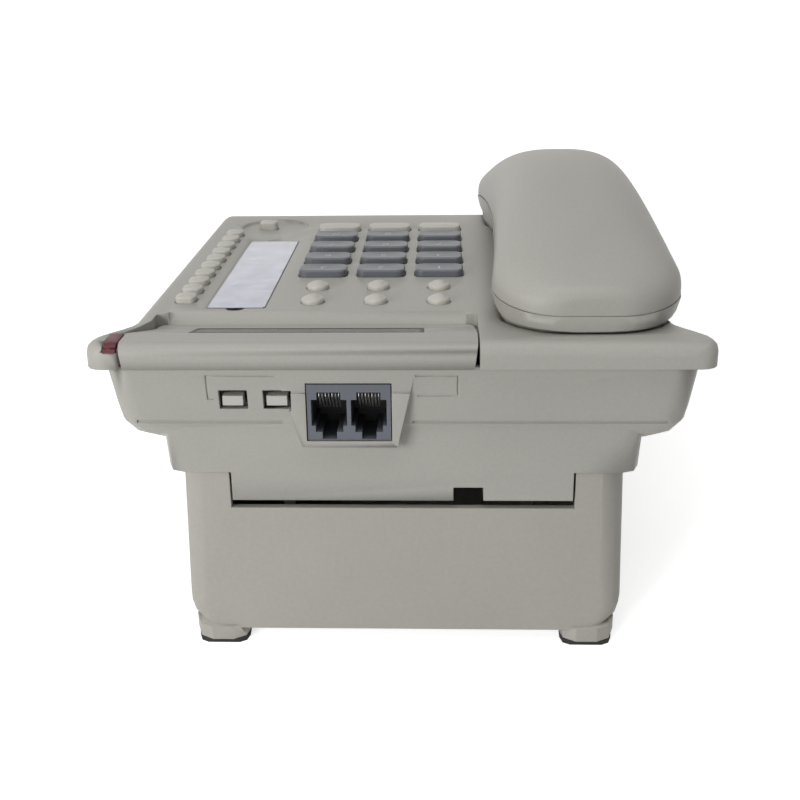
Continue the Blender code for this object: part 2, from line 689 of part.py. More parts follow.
def add_cover_blocks(cover):
    """Thickens the deck's shell from inside where a recess is sunk into it."""
    well_rear = -CASE_REAR - WALL - 2 * GAP
    well_floor = -RIM_HEIGHT - GAP
    grow = DISPLAY_GAP + 0.9 * WALL
    walls = bmesh.new()
    add_prism(walls, display_plan(grow, well_rear, WELL_CORNER), -RIM_HEIGHT + GAP, -WALL / 2)
    combine(cover, "UNION", place("add_well_walls", walls, None))
    floor = bmesh.new()
    grow -= GAP
    inside_case = CASE_INSET + WALL + CASE_DRAFT / 4 + grow + GAP
    plan = display_plan(grow, well_rear - GAP, WELL_CORNER, inside_case)
    add_prism(floor, plan, well_floor - 0.85 * WALL, -RIM_HEIGHT + 2 * GAP)
    combine(cover, "UNION", place("add_well_floor", floor, None))
    cheeks = bmesh.new()
    for x in (DISPLAY_LEFT - DISPLAY_GAP - 0.75 * WALL, DISPLAY_RIGHT + DISPLAY_GAP - 0.25 * WALL):
        add_box(cheeks, (x, 2 * well_rear, -RIM_HEIGHT + 2 * GAP), (x + WALL, -WALL / 2, -WALL / 2 - GAP))
    combine(cover, "UNION", place("add_well_cheeks", cheeks, None))
    card = bmesh.new()
    add_box(
        card,
        (CARD_LEFT - WALL / 2, -CARD_FRONT - 2 * WALL, -card_recess_depth() - WALL * 0.7),
        (CARD_RIGHT + WALL / 2, -CARD_REAR + WALL, -WALL / 2),
    )
    combine(cover, "UNION", place("add_card_tub", card, None))
    dish = bmesh.new()
    plan = circle(SPEAKER_DISH_RADIUS + WALL / 4, (SPEAKER_DISH_X, -SPEAKER_DISH_Y), 24)
    add_prism(dish, plan, -SPEAKER_DISH_DEPTH - WALL * 0.8, -WALL / 2)
    combine(cover, "UNION", place("add_speaker_dish", dish, None))
    lamp = box(
        (DISPLAY_RIGHT + DISPLAY_GAP + WALL / 2, -LAMP_LENGTH - WALL, -LAMP_THICKNESS - WALL),
        (DISPLAY_RIGHT + DISPLAY_GAP + LAMP_WIDTH + WALL, -WALL / 2, -WALL / 2),
    )
    combine(cover, "UNION", place("add_lamp_block", lamp, None))
    for end, side in ((0, "rear"), (1, "front")):
        shape = cap_block(end, CRADLE_CLEARANCE + 0.9 * WALL, CRADLE_FOOT, -WALL / 4)
        tub = place(f"add_cradle_{side}", shape, None)
        inside = mirrored_loft(deck_stations(GAP, 0.0))
        combine(tub, "INTERSECT", place(f"trim_cradle_{side}", inside, None))
        combine(cover, "UNION", tub)
    posts = bmesh.new()
    for centre in board_posts():
        add_prism(posts, circle(POST_RADIUS, centre, 8), keypad_levels()[1] + GAP, -WALL / 2)
    combine(cover, "UNION", place("add_board_posts", posts, None))


def make_top_cover(material):
    """Key deck with its rim, the display's well, the cradle pockets and every key opening."""
    cover = place("top_cover", mirrored_loft(deck_stations(0.0, 0.0)), material)
    hollow = place("cut_cover_hollow", mirrored_loft(deck_stations(WALL, CUT)), None)
    combine(cover, "DIFFERENCE", hollow)
    add_cover_blocks(cover)

    well = bmesh.new()
    add_prism(well, display_plan(DISPLAY_GAP, 3 * CUT, WELL_CORNER), -RIM_HEIGHT - GAP, 5 * CUT)
    combine(cover, "DIFFERENCE", place("cut_display_well", well, None))
    ramp = bmesh.new()
    front = -DISPLAY_DEPTH - DISPLAY_GAP
    low = -DISPLAY_FACE * math.sin(DISPLAY_FALL) - DISPLAY_LIP
    end = front - RAMP_LENGTH
    outline = [(front + CUT, low), (front, low), (end, 0.0), (end, CUT), (front + CUT, CUT)]
    right = display_right(DISPLAY_DEPTH, DISPLAY_MARGIN)
    add_bar(ramp, outline, DISPLAY_LEFT + DISPLAY_CORNER, right - DISPLAY_CORNER)
    combine(cover, "DIFFERENCE", place("cut_display_ramp", ramp, None))
    holes = bmesh.new()
    add_hinge_pins(holes, HINGE_PIN_RADIUS + GAP, GAP)
    combine(cover, "DIFFERENCE", place("cut_hinge_holes", holes, None))
    lamp = bmesh.new()
    edge = DISPLAY_RIGHT + DISPLAY_GAP
    add_bar(lamp, lamp_profile(CUT, LAMP_THICKNESS + GAP), edge - CUT, edge + LAMP_WIDTH + 2 * GAP)
    combine(cover, "DIFFERENCE", place("cut_lamp_notch", lamp, None))

    card = bmesh.new()
    low = (CARD_LEFT - GAP, -CARD_FRONT - GAP, -card_recess_depth())
    add_box(card, low, (CARD_RIGHT + GAP, -CARD_REAR + GAP, CUT))
    combine(cover, "DIFFERENCE", place("cut_card_recess", card, None))
    notches = bmesh.new()
    for y in (-CARD_REAR, -CARD_FRONT):
        centre = ((CARD_LEFT + CARD_RIGHT) / 2, y)
        add_prism(notches, circle(CARD_NOTCH / 2, centre, 12), -card_recess_depth() + CUT / 4, CUT)
    combine(cover, "DIFFERENCE", place("cut_card_notches", notches, None))
    dish = bmesh.new()
    plan = circle(SPEAKER_DISH_RADIUS, (SPEAKER_DISH_X, -SPEAKER_DISH_Y), 24)
    add_prism(dish, plan, -SPEAKER_DISH_DEPTH, CUT)
    combine(cover, "DIFFERENCE", place("cut_speaker_dish", dish, None))
    for end, side in ((0, "rear"), (1, "front")):
        pocket = cap_block(end, CRADLE_CLEARANCE, -CAP_DROP - GAP, CUT / 2)
        combine(cover, "DIFFERENCE", place(f"cut_cradle_{side}", pocket, None))
    plunger = bmesh.new()
    size = (PLUNGER_WIDTH + 2 * KEY_CLEARANCE, PLUNGER_LENGTH + 2 * KEY_CLEARANCE, PLUNGER_CORNER)
    add_prism(plunger, rounded_rectangle(*size, (HANDSET_X, -PLUNGER_Y)), -2 * CAP_DROP, -CAP_DROP / 2)
    combine(cover, "DIFFERENCE", place("cut_plunger_hole", plunger, None))
    combine(cover, "DIFFERENCE", place("cut_key_openings", key_openings(), None))
    return cover


def make_lower_case(material):
    """Lower shell with its rolled walls, the clip-on tier, the jack hood and the rear openings."""
    case = place("lower_case", mirrored_loft(case_stations(0.0, 0.0)), material)
    combine(case, "UNION", place("add_tier", tier_loft(0.0), None))
    low = (-HUMP_HALF, -TIER_REAR - HUMP_DEPTH, -HUMP_BOTTOM)
    hump = box(low, (HUMP_HALF, -TIER_REAR, -TIER_BOTTOM + WALL))
    combine(case, "UNION", place("add_hump", hump, None))
    hood = bmesh.new()
    outline = [
        (HOOD_TOP_LEFT, -HOOD_TOP),
        (HOOD_TOP_RIGHT, -HOOD_TOP),
        (HOOD_BOTTOM_RIGHT, -HOOD_BOTTOM),
        (HOOD_BOTTOM_LEFT, -HOOD_BOTTOM),
    ]
    skin(hood, [[(x, y, z) for x, z in outline] for y in (-CASE_REAR - HOOD_DEPTH, -CASE_REAR + GAP / 2)])
    combine(case, "UNION", place("add_jack_hood", hood, None))

    hollow = place("cut_case_hollow", mirrored_loft(case_stations(WALL, CUT)), None)
    combine(case, "DIFFERENCE", hollow)
    combine(case, "DIFFERENCE", place("cut_tier_hollow", tier_loft(WALL), None))
    low = (-HUMP_HALF + WALL, -TIER_REAR - HUMP_DEPTH + WALL, -HUMP_BOTTOM + WALL)
    inner = box(low, (HUMP_HALF - WALL, -TIER_REAR - WALL, -TIER_BOTTOM + 2 * WALL))
    combine(case, "DIFFERENCE", place("cut_hump_hollow", inner, None))
    cut_case_openings(case)
    return case


def cut_case_openings(case):
    """Cuts the rear wall for the jacks, switches and label, the hump for a cord and the floor for sound."""
    rear = CUT - CASE_REAR
    jack = box(
        (JACK_X - jack_half_width() - GAP, -JACK_BAY_DEPTH, -JACK_BOTTOM - GAP),
        (JACK_X + jack_half_width() + GAP, rear, -JACK_TOP + GAP),
    )
    combine(case, "DIFFERENCE", place("cut_jack_opening", jack, None))
    switches = bmesh.new()
    for x in SWITCH_X:
        half_width, half_height = SWITCH_OPENING_WIDTH / 2, SWITCH_OPENING_HEIGHT / 2
        low = (x - half_width, -SWITCH_SET_BACK, -SWITCH_Z - half_height)
        add_box(switches, low, (x + half_width, rear, -SWITCH_Z + half_height))
    combine(case, "DIFFERENCE", place("cut_switch_openings", switches, None))
    label = bmesh.new()
    outline = rounded_rectangle(LABEL_WIDTH, LABEL_HEIGHT, LABEL_HEIGHT / 3, (LABEL_X, -LABEL_Z))
    skin(label, [[(x, y, z) for x, z in outline] for y in (-CASE_REAR - LABEL_DEPTH, rear)])
    combine(case, "DIFFERENCE", place("cut_label_recess", label, None))
    half = CORD_NOTCH_WIDTH / 2
    notch = box(
        (CORD_NOTCH_X - half, -TIER_REAR - HUMP_DEPTH / 2, -HUMP_BOTTOM - CUT),
        (CORD_NOTCH_X + half, -TIER_REAR + CUT, -HUMP_BOTTOM + CORD_NOTCH_HEIGHT),
    )
    combine(case, "DIFFERENCE", place("cut_cord_notch", notch, None))
    side = bmesh.new()
    half_y, half_z = CORD_JACK_WIDTH / 2 + GAP, CORD_JACK_HEIGHT / 2 + GAP
    low = (-SIDE_HALF - CUT, -BASE_JACK_Y - half_y, -BASE_JACK_Z - half_z)
    add_box(side, low, (-SIDE_HALF + CORD_JACK_LENGTH, -BASE_JACK_Y + half_y, -BASE_JACK_Z + half_z))
    combine(case, "DIFFERENCE", place("cut_cord_jack_opening", side, None))
    grille = bmesh.new()
    for index in range(GRILLE_SLOTS):
        offset = (index - (GRILLE_SLOTS - 1) / 2) * GRILLE_PITCH
        reach = math.sqrt(LOUDSPEAKER_RADIUS**2 - offset**2) * 0.8
        y = -LOUDSPEAKER_Y + offset
        low = (LOUDSPEAKER_X - reach, y - GRILLE_SLOT_WIDTH / 2, -TIER_BOTTOM - CUT)
        add_box(grille, low, (LOUDSPEAKER_X + reach, y + GRILLE_SLOT_WIDTH / 2, -TIER_BOTTOM + 2 * WALL))
    combine(case, "DIFFERENCE", place("cut_loudspeaker_grille", grille, None))


def jack_half_width():
    """Half width of the block that holds both line jacks."""
    return JACK_PITCH / 2 + JACK_WIDTH / 2 + JACK_SIDE


# ---------------------------------------------------------------------------------------------------
# Stand and feet


def stand_stations(inset, top_extra):
    """Half profiles of the wedge stand along its depth."""
    stations = []
    rear, front = STAND_REAR + inset, STAND_FRONT - inset
    backs = [rear + STAND_CORNER * (1 - math.cos(a)) for a in arc_steps(3)] + [front]
    top = -TIER_BOTTOM - GAP
    for back in backs:
        narrowing = corner_inset(STAND_CORNER, back - rear) + inset
        bottom = floor_z(-back) + STAND_FOOT_HEIGHT + inset
        tall = STAND_HALF_BOTTOM - STAND_HALF_TOP
        half = [(STAND_HALF_TOP - narrowing, -back, top + top_extra)]
        for a in arc_steps(3):
            reach = STAND_HALF_TOP + tall - narrowing - STAND_CORNER * (1 - math.cos(a))
            lift = min(STAND_CORNER, (top - bottom) * 0.8) * (1 - math.sin(a))
            half.append((reach, -back, bottom + lift))
        stations.append(half)
    return stations


def foot_block(plan, top, drop):
    """A block on the table's slope: its plan at a body height or a height over the floor."""
    bm = bmesh.new()
    skin(bm, [[(x, y, floor_z(y) + drop) for x, y in plan], [(x, y, top(y)) for x, y in plan]])
    return bm


def foot_plan(side, y, length, margin=0.0):
    """Plan outline of a foot pad, or of the boss above it when grown by a margin."""
    size = (FOOT_WIDTH + 2 * margin, length + 2 * margin)
    return rounded_rectangle(*size, FOOT_CORNER + margin, (side * FOOT_X, -y))


def make_stand(material):
    """Hollow wedge that leans the telephone back, with a cut-out for the hump and two wall keyholes."""
    stand = place("desk_stand", mirrored_loft(stand_stations(0.0, 0.0)), material)
    hollow = place("cut_stand_hollow", mirrored_loft(stand_stations(STAND_WALL, CUT)), None)
    combine(stand, "DIFFERENCE", hollow)
    for side, name in ((-1, "left"), (1, "right")):
        plan = foot_plan(side, REAR_FOOT_Y, REAR_FOOT_LENGTH, BOSS_MARGIN)
        top = lambda y: floor_z(y) + STAND_FOOT_HEIGHT + STAND_WALL / 2
        boss = foot_block(plan, top, REAR_PAD_HEIGHT + GAP)
        combine(stand, "UNION", place(f"add_foot_boss_{name}", boss, None))
    opening = box(
        (-HUMP_HALF - STAND_SLOT / 4, -TIER_REAR - HUMP_DEPTH - STAND_SLOT, -HUMP_BOTTOM - STAND_SLOT),
        (HUMP_HALF + STAND_SLOT / 4, CUT, -TIER_BOTTOM + CUT),
    )
    combine(stand, "DIFFERENCE", place("cut_hump_clearance", opening, None))
    for side, name in ((-1, "left"), (1, "right")):
        plan = keyhole_plan(side * KEYHOLE_X)
        bm = bmesh.new()
        levels = (0.0, STAND_FOOT_HEIGHT + 2 * STAND_WALL)
        skin(bm, [[(x, y, floor_z(y) + z) for x, y in plan] for z in levels])
        combine(stand, "DIFFERENCE", place(f"cut_keyhole_{name}", bm, None))
    return stand


def keyhole_plan(x):
    """Plan of a wall keyhole: a round head that narrows into a neck towards the rear."""
    radius, neck = KEYHOLE_HEAD / 2, KEYHOLE_NECK / 2
    start = math.asin(neck / radius)
    turns = [math.radians(90) + start + (2 * math.pi - 2 * start) * k / 12 for k in range(13)]
    head = [(x + radius * math.cos(a), -KEYHOLE_Y + radius * math.sin(a)) for a in turns]
    end = -KEYHOLE_Y + KEYHOLE_LENGTH
    tip = [(x + neck * math.cos(a), end + neck * math.sin(a)) for a in (2 * turn for turn in arc_steps(4))]
    return head + tip


def make_feet(material):
    """Four rubber pads: two under the stand's bosses and two taller ones under the front of the case."""
    for side, name in ((-1, "left"), (1, "right")):
        rear = foot_plan(side, REAR_FOOT_Y, REAR_FOOT_LENGTH)
        pad = foot_block(rear, lambda y: floor_z(y) + REAR_PAD_HEIGHT, 0.0)
        place(f"rear_foot_{name}", pad, material, (side * FOOT_X, -REAR_FOOT_Y, floor_z(-REAR_FOOT_Y)))
        front = foot_plan(side, FRONT_FOOT_Y, FRONT_FOOT_LENGTH)
        pad = foot_block(front, lambda y: -TIER_BOTTOM - GAP, 0.0)
        place(f"front_foot_{name}", pad, material, (side * FOOT_X, -FRONT_FOOT_Y, floor_z(-FRONT_FOOT_Y)))


# ---------------------------------------------------------------------------------------------------
# Display unit


def display_surface(back):
    """Height of the display unit's top at a distance in front of the rear edge."""
    if back <= DISPLAY_RIDGE:
        return -corner_inset(RIM_FILLET, back)
    return -(min(back, DISPLAY_RIDGE + DISPLAY_FACE) - DISPLAY_RIDGE) * math.tan(DISPLAY_FALL)


def display_profile():
    """(y, z) side profile of the display housing."""
    rear = [(-RIM_FILLET * (1 - math.cos(a)), -RIM_FILLET * (1 - math.sin(a))) for a in arc_steps(4)]
    face_end = DISPLAY_RIDGE + DISPLAY_FACE
    foot = display_surface(face_end)
    y, z = hinge_axis()
    radius = math.hypot(-DISPLAY_DEPTH - y, foot - DISPLAY_LIP - z) * TOE_SHARE
    toe = [(y - radius * math.cos(a), z - radius * math.sin(a)) for a in TOE_ANGLES]
    lip = [(-DISPLAY_DEPTH + DISPLAY_LIP, foot), (-DISPLAY_DEPTH, foot - DISPLAY_LIP)]
    front = [(-DISPLAY_RIDGE, 0.0), (-face_end, foot), *lip]
    return [(0.0, -RIM_HEIGHT), *rear, *front, *toe, (y + HINGE_RISE / 2, -RIM_HEIGHT)]


def slope_bar(start, length, top, thickness, left, right):
    """A slab lying on the display's sloping face, measured from the ridge down the slope."""
    along = Vector((-math.cos(DISPLAY_FALL), -math.sin(DISPLAY_FALL)))
    up = Vector((-math.sin(DISPLAY_FALL), math.cos(DISPLAY_FALL)))
    ridge = Vector((-DISPLAY_RIDGE, 0.0))
    end, low = start + length, top - thickness
    corners = ((start, top), (end, top), (end, low), (start, low))
    bm = bmesh.new()
    add_bar(bm, [ridge + along * s + up * h for s, h in corners], left, right)
    return bm


def lcd_box(shrink):
    """Corners of the pocket under the display's face, shrunk for the module that fills it."""
    left, right = WINDOW_LEFT - LCD_SIDE_MARGIN + shrink, WINDOW_RIGHT + LCD_SIDE_MARGIN - shrink
    rear = -DISPLAY_RIDGE + LCD_REAR_MARGIN - shrink
    front = -DISPLAY_RIDGE - DISPLAY_FACE + LCD_FRONT_MARGIN + shrink
    low = -RIM_HEIGHT
    return (left, front, low), (right, rear, low + LCD_HEIGHT + GAP - shrink)


def make_display(casing, window_material, module_material):
    """Tilting display: housing with moulded hinge pins, its dark window and the module behind it."""
    y, z = hinge_axis()
    origin = (0.0, y, z)
    housing_shape = bmesh.new()
    add_bar(housing_shape, display_profile(), DISPLAY_LEFT - CUT, DISPLAY_RIGHT + CUT)
    housing = place("display_housing", housing_shape, casing, origin)
    plan = bmesh.new()
    loops = []
    for grow, level in ((-DISPLAY_DRAFT, -RIM_HEIGHT - CUT), (-DISPLAY_DRAFT, -RIM_HEIGHT), (0.0, CUT)):
        loops.append([(px, py, level) for px, py in display_plan(grow, CUT, DISPLAY_CORNER)])
    skin(plan, loops)
    combine(housing, "INTERSECT", place("trim_display_plan", plan, None))
    for (left, right), name in zip(hinge_pin_spans(0.0), ("left", "right")):
        pin = bmesh.new()
        add_bar(pin, circle(HINGE_PIN_RADIUS, (y, z), 12), left, right)
        combine(housing, "UNION", place(f"add_hinge_pin_{name}", pin, None))
    pocket_low, pocket_high = lcd_box(0.0)
    pocket = box((pocket_low[0], pocket_low[1], pocket_low[2] - CUT), pocket_high)
    combine(housing, "DIFFERENCE", place("cut_lcd_pocket", pocket, None))
    recess = slope_bar(
        WINDOW_START - GAP,
        WINDOW_LENGTH + 2 * GAP,
        CUT,
        CUT + WINDOW_THICKNESS + GAP,
        WINDOW_LEFT - GAP,
        WINDOW_RIGHT + GAP,
    )
    combine(housing, "DIFFERENCE", place("cut_window_recess", recess, None))
    opening = slope_bar(
        WINDOW_START + WINDOW_LEDGE,
        WINDOW_LENGTH - 2 * WINDOW_LEDGE,
        0.0,
        RIM_HEIGHT - LCD_HEIGHT,
        WINDOW_LEFT + WINDOW_LEDGE,
        WINDOW_RIGHT - WINDOW_LEDGE,
    )
    combine(housing, "DIFFERENCE", place("cut_window_opening", opening, None))
    window = slope_bar(WINDOW_START, WINDOW_LENGTH, 0.0, WINDOW_THICKNESS, WINDOW_LEFT, WINDOW_RIGHT)
    place("display_window", window, window_material, origin)
    place("lcd_module", box(*lcd_box(GAP)), module_material, origin)


def make_lamp(material):
    """Red lens of the ringer lamp, bent over the rear edge beside the display."""
    lens = bmesh.new()
    left = DISPLAY_RIGHT + DISPLAY_GAP + GAP / 2
    add_bar(lens, lamp_profile(0.0, LAMP_THICKNESS), left, left + LAMP_WIDTH)
    place("ringer_lamp_lens", lens, material, (left, 0.0, 0.0))


# ---------------------------------------------------------------------------------------------------
# Keys and what lies under the deck


def make_keys(dial_material, light_material):
    """Every push key: a crowned cap that passes through the deck, with a flange under it."""
    for name, tone, x, y, width, depth, radius, height, points in key_places():
        sunk = -SPEAKER_DISH_DEPTH - WALL * 0.8 - GAP if name == "speaker_button" else -WALL - GAP
        lip = KEY_CLEARANCE + KEY_FLANGE
        edge = min(width, depth) * 0.1
        levels = (
            (lip, sunk - FLANGE_THICKNESS),
            (lip, sunk),
            (0.0, sunk),
            (0.0, height - edge),
            (-edge * 0.3, height - edge * 0.3),
            (-edge, height),
        )
        bm = bmesh.new()
        loops = []
        for grow, z in levels:
            size = (width + 2 * grow, depth + 2 * grow, max(radius + grow, GAP))
            loops.append([(px, py, z) for px, py in rounded_rectangle(*size, (x, y), points)])
        skin(bm, loops)
        place(name, bm, dial_material if tone == "dial" else light_material, (x, y, 0.0))


def make_card(card_material, cover_material):
    """Index card and the clear cover that snaps over it."""
    inset = GAP
    low_z = -card_recess_depth() + GAP
    centre = ((CARD_LEFT + CARD_RIGHT) / 2, -(CARD_REAR + CARD_FRONT) / 2)
    span = (CARD_RIGHT - CARD_LEFT - 2 * inset, CARD_FRONT - CARD_REAR - 2 * inset)
    card = bmesh.new()
    add_prism(card, rounded_rectangle(*span, CARD_CORNER, centre, 2), low_z, low_z + CARD_THICKNESS)
    place("index_card", card, card_material, (*centre, low_z))
    cover = bmesh.new()
    low_z += CARD_THICKNESS + GAP
    add_prism(cover, rounded_rectangle(*span, CARD_CORNER, centre, 2), low_z, low_z + CARD_COVER_THICKNESS)
    place("card_cover", cover, cover_material, (*centre, low_z))


def make_boards(rubber, board_material):
    """Rubber keypad sheet and the circuit board that it lies on."""
    sheet_top, board_top, board_bottom = keypad_levels()
    posts = board_posts()
    left = posts[0][0] - POST_RADIUS - CUT
    right = SIDE_HALF - CASE_INSET - WALL - CUT
    rear = -DISPLAY_DEPTH - DISPLAY_GAP - WALL - BOARD_MARGIN / 2
    front = -WIDE_KEY_Y - WIDE_KEY_DEPTH / 2 - 2 * BOARD_MARGIN
    board = box((left, front, board_bottom), (right, rear, board_top))
    place("main_board", board, board_material, ((left + right) / 2, (rear + front) / 2, board_top))
    low = (left + 2 * POST_RADIUS + 2 * CUT, front + CUT, sheet_top - KEYPAD_THICKNESS)
    high = (right - CUT, rear - CUT, sheet_top)
    sheet = place("keypad_sheet", box(low, high), rubber, (low[0], low[1], sheet_top))
    holes = bmesh.new()
    for centre in posts[2:]:
        add_prism(holes, circle(POST_RADIUS + CUT, centre, 8), low[2] - CUT, sheet_top + CUT)
    combine(sheet, "DIFFERENCE", place("cut_post_holes", holes, None))


def make_loudspeaker(material):
    """Loudspeaker: a turned basket, cone dish and magnet, seated over the case's floor slots."""
    floor = -TIER_BOTTOM + WALL + GAP
    profile = (
        (LOUDSPEAKER_RADIUS * 0.72, floor + LOUDSPEAKER_CONE_LIFT),
        (LOUDSPEAKER_RADIUS * 0.9, floor),
        (LOUDSPEAKER_RADIUS, floor),
        (LOUDSPEAKER_RADIUS, floor + LOUDSPEAKER_RIM),
        (LOUDSPEAKER_RADIUS * 0.55, floor + LOUDSPEAKER_HEIGHT * 0.6),
        (LOUDSPEAKER_RADIUS * 0.48, floor + LOUDSPEAKER_HEIGHT * 0.62),
        (LOUDSPEAKER_RADIUS * 0.48, floor + LOUDSPEAKER_HEIGHT),
    )
    bm = bmesh.new()
    centre = (LOUDSPEAKER_X, -LOUDSPEAKER_Y)
    first = (LOUDSPEAKER_RADIUS * 0.2, floor + LOUDSPEAKER_HEIGHT * 0.4)
    skin(bm, [[(x, y, z) for x, y in circle(r, centre, 24)] for r, z in (first, *profile)])
    place("loudspeaker", bm, material, (LOUDSPEAKER_X, -LOUDSPEAKER_Y, floor))


# ---------------------------------------------------------------------------------------------------
# Rear wall: line jacks and slide switches


def jack_centres():
    """X of the two line jacks."""
    return JACK_X - JACK_PITCH / 2, JACK_X + JACK_PITCH / 2


def wire_places(centre):
    """X of the contact wires of the jack at this centre."""
    return [centre + (k - (WIRE_COUNT - 1) / 2) * WIRE_PITCH for k in range(WIRE_COUNT)]


def jack_opening_outline(centre):
    """(x, z) outline of a line jack's mouth: its main bore with two latch steps under it."""
    half = JACK_WIDTH / 2
    left, right = centre - half, centre + half
    outline = [(right, -JACK_COMB_BOTTOM), (left, -JACK_COMB_BOTTOM), (left, -JACK_FLOOR)]
    floors = [JACK_FLOOR] + [JACK_FLOOR + drop for drop in JACK_STEP_DROPS]
    for width, above, below in zip(JACK_STEP_WIDTHS, floors, floors[1:]):
        outline += [(centre - width / 2, -above), (centre - width / 2, -below)]
    for width, above, below in reversed(list(zip(JACK_STEP_WIDTHS, floors, floors[1:]))):
        outline += [(centre + width / 2, -below), (centre + width / 2, -above)]
    return outline + [(right, -JACK_FLOOR)]


def make_line_jacks(block_material, insert_material):
    """Dual modular jack block with stepped bores and comb slots, and the insert that carries its wires."""
    face = -CASE_REAR - GAP
    half = jack_half_width()
    origin = (JACK_X, face, -(JACK_TOP + JACK_BOTTOM) / 2)
    low = (JACK_X - half, face - JACK_LENGTH, -JACK_BOTTOM)
    block = place("line_jack_block", box(low, (JACK_X + half, face, -JACK_TOP)), block_material, origin)
    bores = bmesh.new()
    slots = bmesh.new()
    for centre in jack_centres():
        outline = jack_opening_outline(centre)
        skin(bores, [[(x, y, z) for x, z in outline] for y in (face - JACK_LENGTH - CUT, face + CUT)])
        for x in wire_places(centre):
            width = WIRE_SIZE / 2 + GAP * 1.2
            low = (x - width, face - JACK_LENGTH - 2 * CUT, -JACK_COMB_BOTTOM - GAP)
            add_box(slots, low, (x + width, face + 2 * CUT, -JACK_COMB_TOP))
    combine(block, "DIFFERENCE", place("cut_jack_bores", bores, None))
    combine(block, "DIFFERENCE", place("cut_comb_slots", slots, None))

    back = face - JACK_LENGTH - GAP
    low = (JACK_X - half, back - INSERT_THICKNESS, -JACK_BOTTOM)
    insert = place("jack_insert", box(low, (JACK_X + half, back, -JACK_TOP)), insert_material, origin)
    wires = bmesh.new()
    top = -JACK_COMB_TOP - WIRE_SIZE / 2 - GAP
    path = [
        (back - INSERT_THICKNESS / 2, top),
        (face - WIRE_FRONT, top),
        (face - WIRE_FRONT + WIRE_SIZE, top - 1.6 * WIRE_SIZE),
        (face - WIRE_END, -JACK_COMB_BOTTOM - WIRE_REACH),
    ]
    for centre in jack_centres():
        for x in wire_places(centre):
            loops = []
            for index, (y, z) in enumerate(path):
                before = path[max(index - 1, 0)]
                after = path[min(index + 1, len(path) - 1)]
                run = Vector((after[0] - before[0], after[1] - before[1])).normalized()
                side = Vector((run.y, -run.x)) * (WIRE_SIZE / 2)
                w = WIRE_SIZE / 2
                corners = ((-w, 1), (w, 1), (w, -1), (-w, -1))
                loops.append([(x + dx, y + side.x * s, z + side.y * s) for dx, s in corners])
            skin(wires, loops)
    combine(insert, "UNION", place("add_contact_wires", wires, None))


def make_switches(housing_material, knob_material):
    """Two slide switches: one moulded housing behind the wall and a ribbed knob in each opening."""
    front = -SWITCH_SET_BACK
    half_height = SWITCH_OPENING_HEIGHT / 2 + WALL / 2
    left = SWITCH_X[0] - SWITCH_OPENING_WIDTH / 2
    right = SWITCH_X[1] + SWITCH_OPENING_WIDTH / 2
    low = (left, front - SWITCH_DEPTH, -SWITCH_Z - half_height)
    origin = ((left + right) / 2, front, -SWITCH_Z)
    shape = box(low, (right, front, -SWITCH_Z + half_height))
    housing = place("switch_housing", shape, housing_material, origin)
    slots = bmesh.new()
    half_stem = SWITCH_STEM / 2
    face = -CASE_REAR - SWITCH_KNOB_RECESS
    for x, name in zip(SWITCH_X, ("left", "right")):
        reach = half_stem + SWITCH_TRAVEL + GAP
        low = (x - reach, front - SWITCH_DEPTH * 0.7, -SWITCH_Z - half_stem - GAP)
        add_box(slots, low, (x + reach, front + CUT, -SWITCH_Z + half_stem + GAP))
        half = SWITCH_KNOB_HEIGHT / 2
        low = (x - SWITCH_KNOB_WIDTH / 2, front + GAP, -SWITCH_Z - half)
        bm = box(low, (x + SWITCH_KNOB_WIDTH / 2, face, -SWITCH_Z + half))
        knob = place(f"switch_knob_{name}", bm, knob_material, (x, face, -SWITCH_Z))
        low = (x - half_stem, front - SWITCH_DEPTH * 0.6, -SWITCH_Z - half_stem)
        stem = box(low, (x + half_stem, front + 2 * GAP, -SWITCH_Z + half_stem))
        combine(knob, "UNION", place(f"add_stem_{name}", stem, None))
    combine(housing, "DIFFERENCE", place("cut_stem_slots", slots, None))


def cord_jack_face():
    """Distance from the middle plane to the mouth of the cord jack in the case's side wall."""
    return SIDE_HALF - CASE_INSET - CASE_DRAFT - CORD_JACK_RECESS


def make_cord_jack(name, material, transform, origin):
    """A small one-port modular jack, drawn with its mouth towards +X and then turned into place."""
    half_y, half_z = CORD_JACK_WIDTH / 2, CORD_JACK_HEIGHT / 2
    bm = box((-CORD_JACK_LENGTH, -half_y, -half_z), (0.0, half_y, half_z))
    bm.transform(transform)
    jack = place(name, bm, material, origin)
    half, low = CORD_JACK_BORE_WIDTH / 2, -CORD_JACK_BORE_HEIGHT / 2
    step, key = half * 0.4, low - CORD_JACK_KEY
    latch = [(-step, low), (-step, key), (step, key), (step, low)]
    outline = [(half, -low), (-half, -low), (-half, low), *latch, (half, low)]
    bore = bmesh.new()
    skin(bore, [[(x, y, z) for y, z in outline] for x in (-CORD_JACK_BORE_LENGTH, CUT)])
    bore.transform(transform)
    combine(jack, "DIFFERENCE", place(f"cut_{name}_bore", bore, None))


# ---------------------------------------------------------------------------------------------------
# Handset and the plunger it rests on


def handset_share(back):
    """0 at the handset's middle and 1 at either end."""
    middle = HANDSET_REAR + HANDSET_LENGTH / 2
    return min(abs(back - middle) / (HANDSET_LENGTH / 2), 1.0)


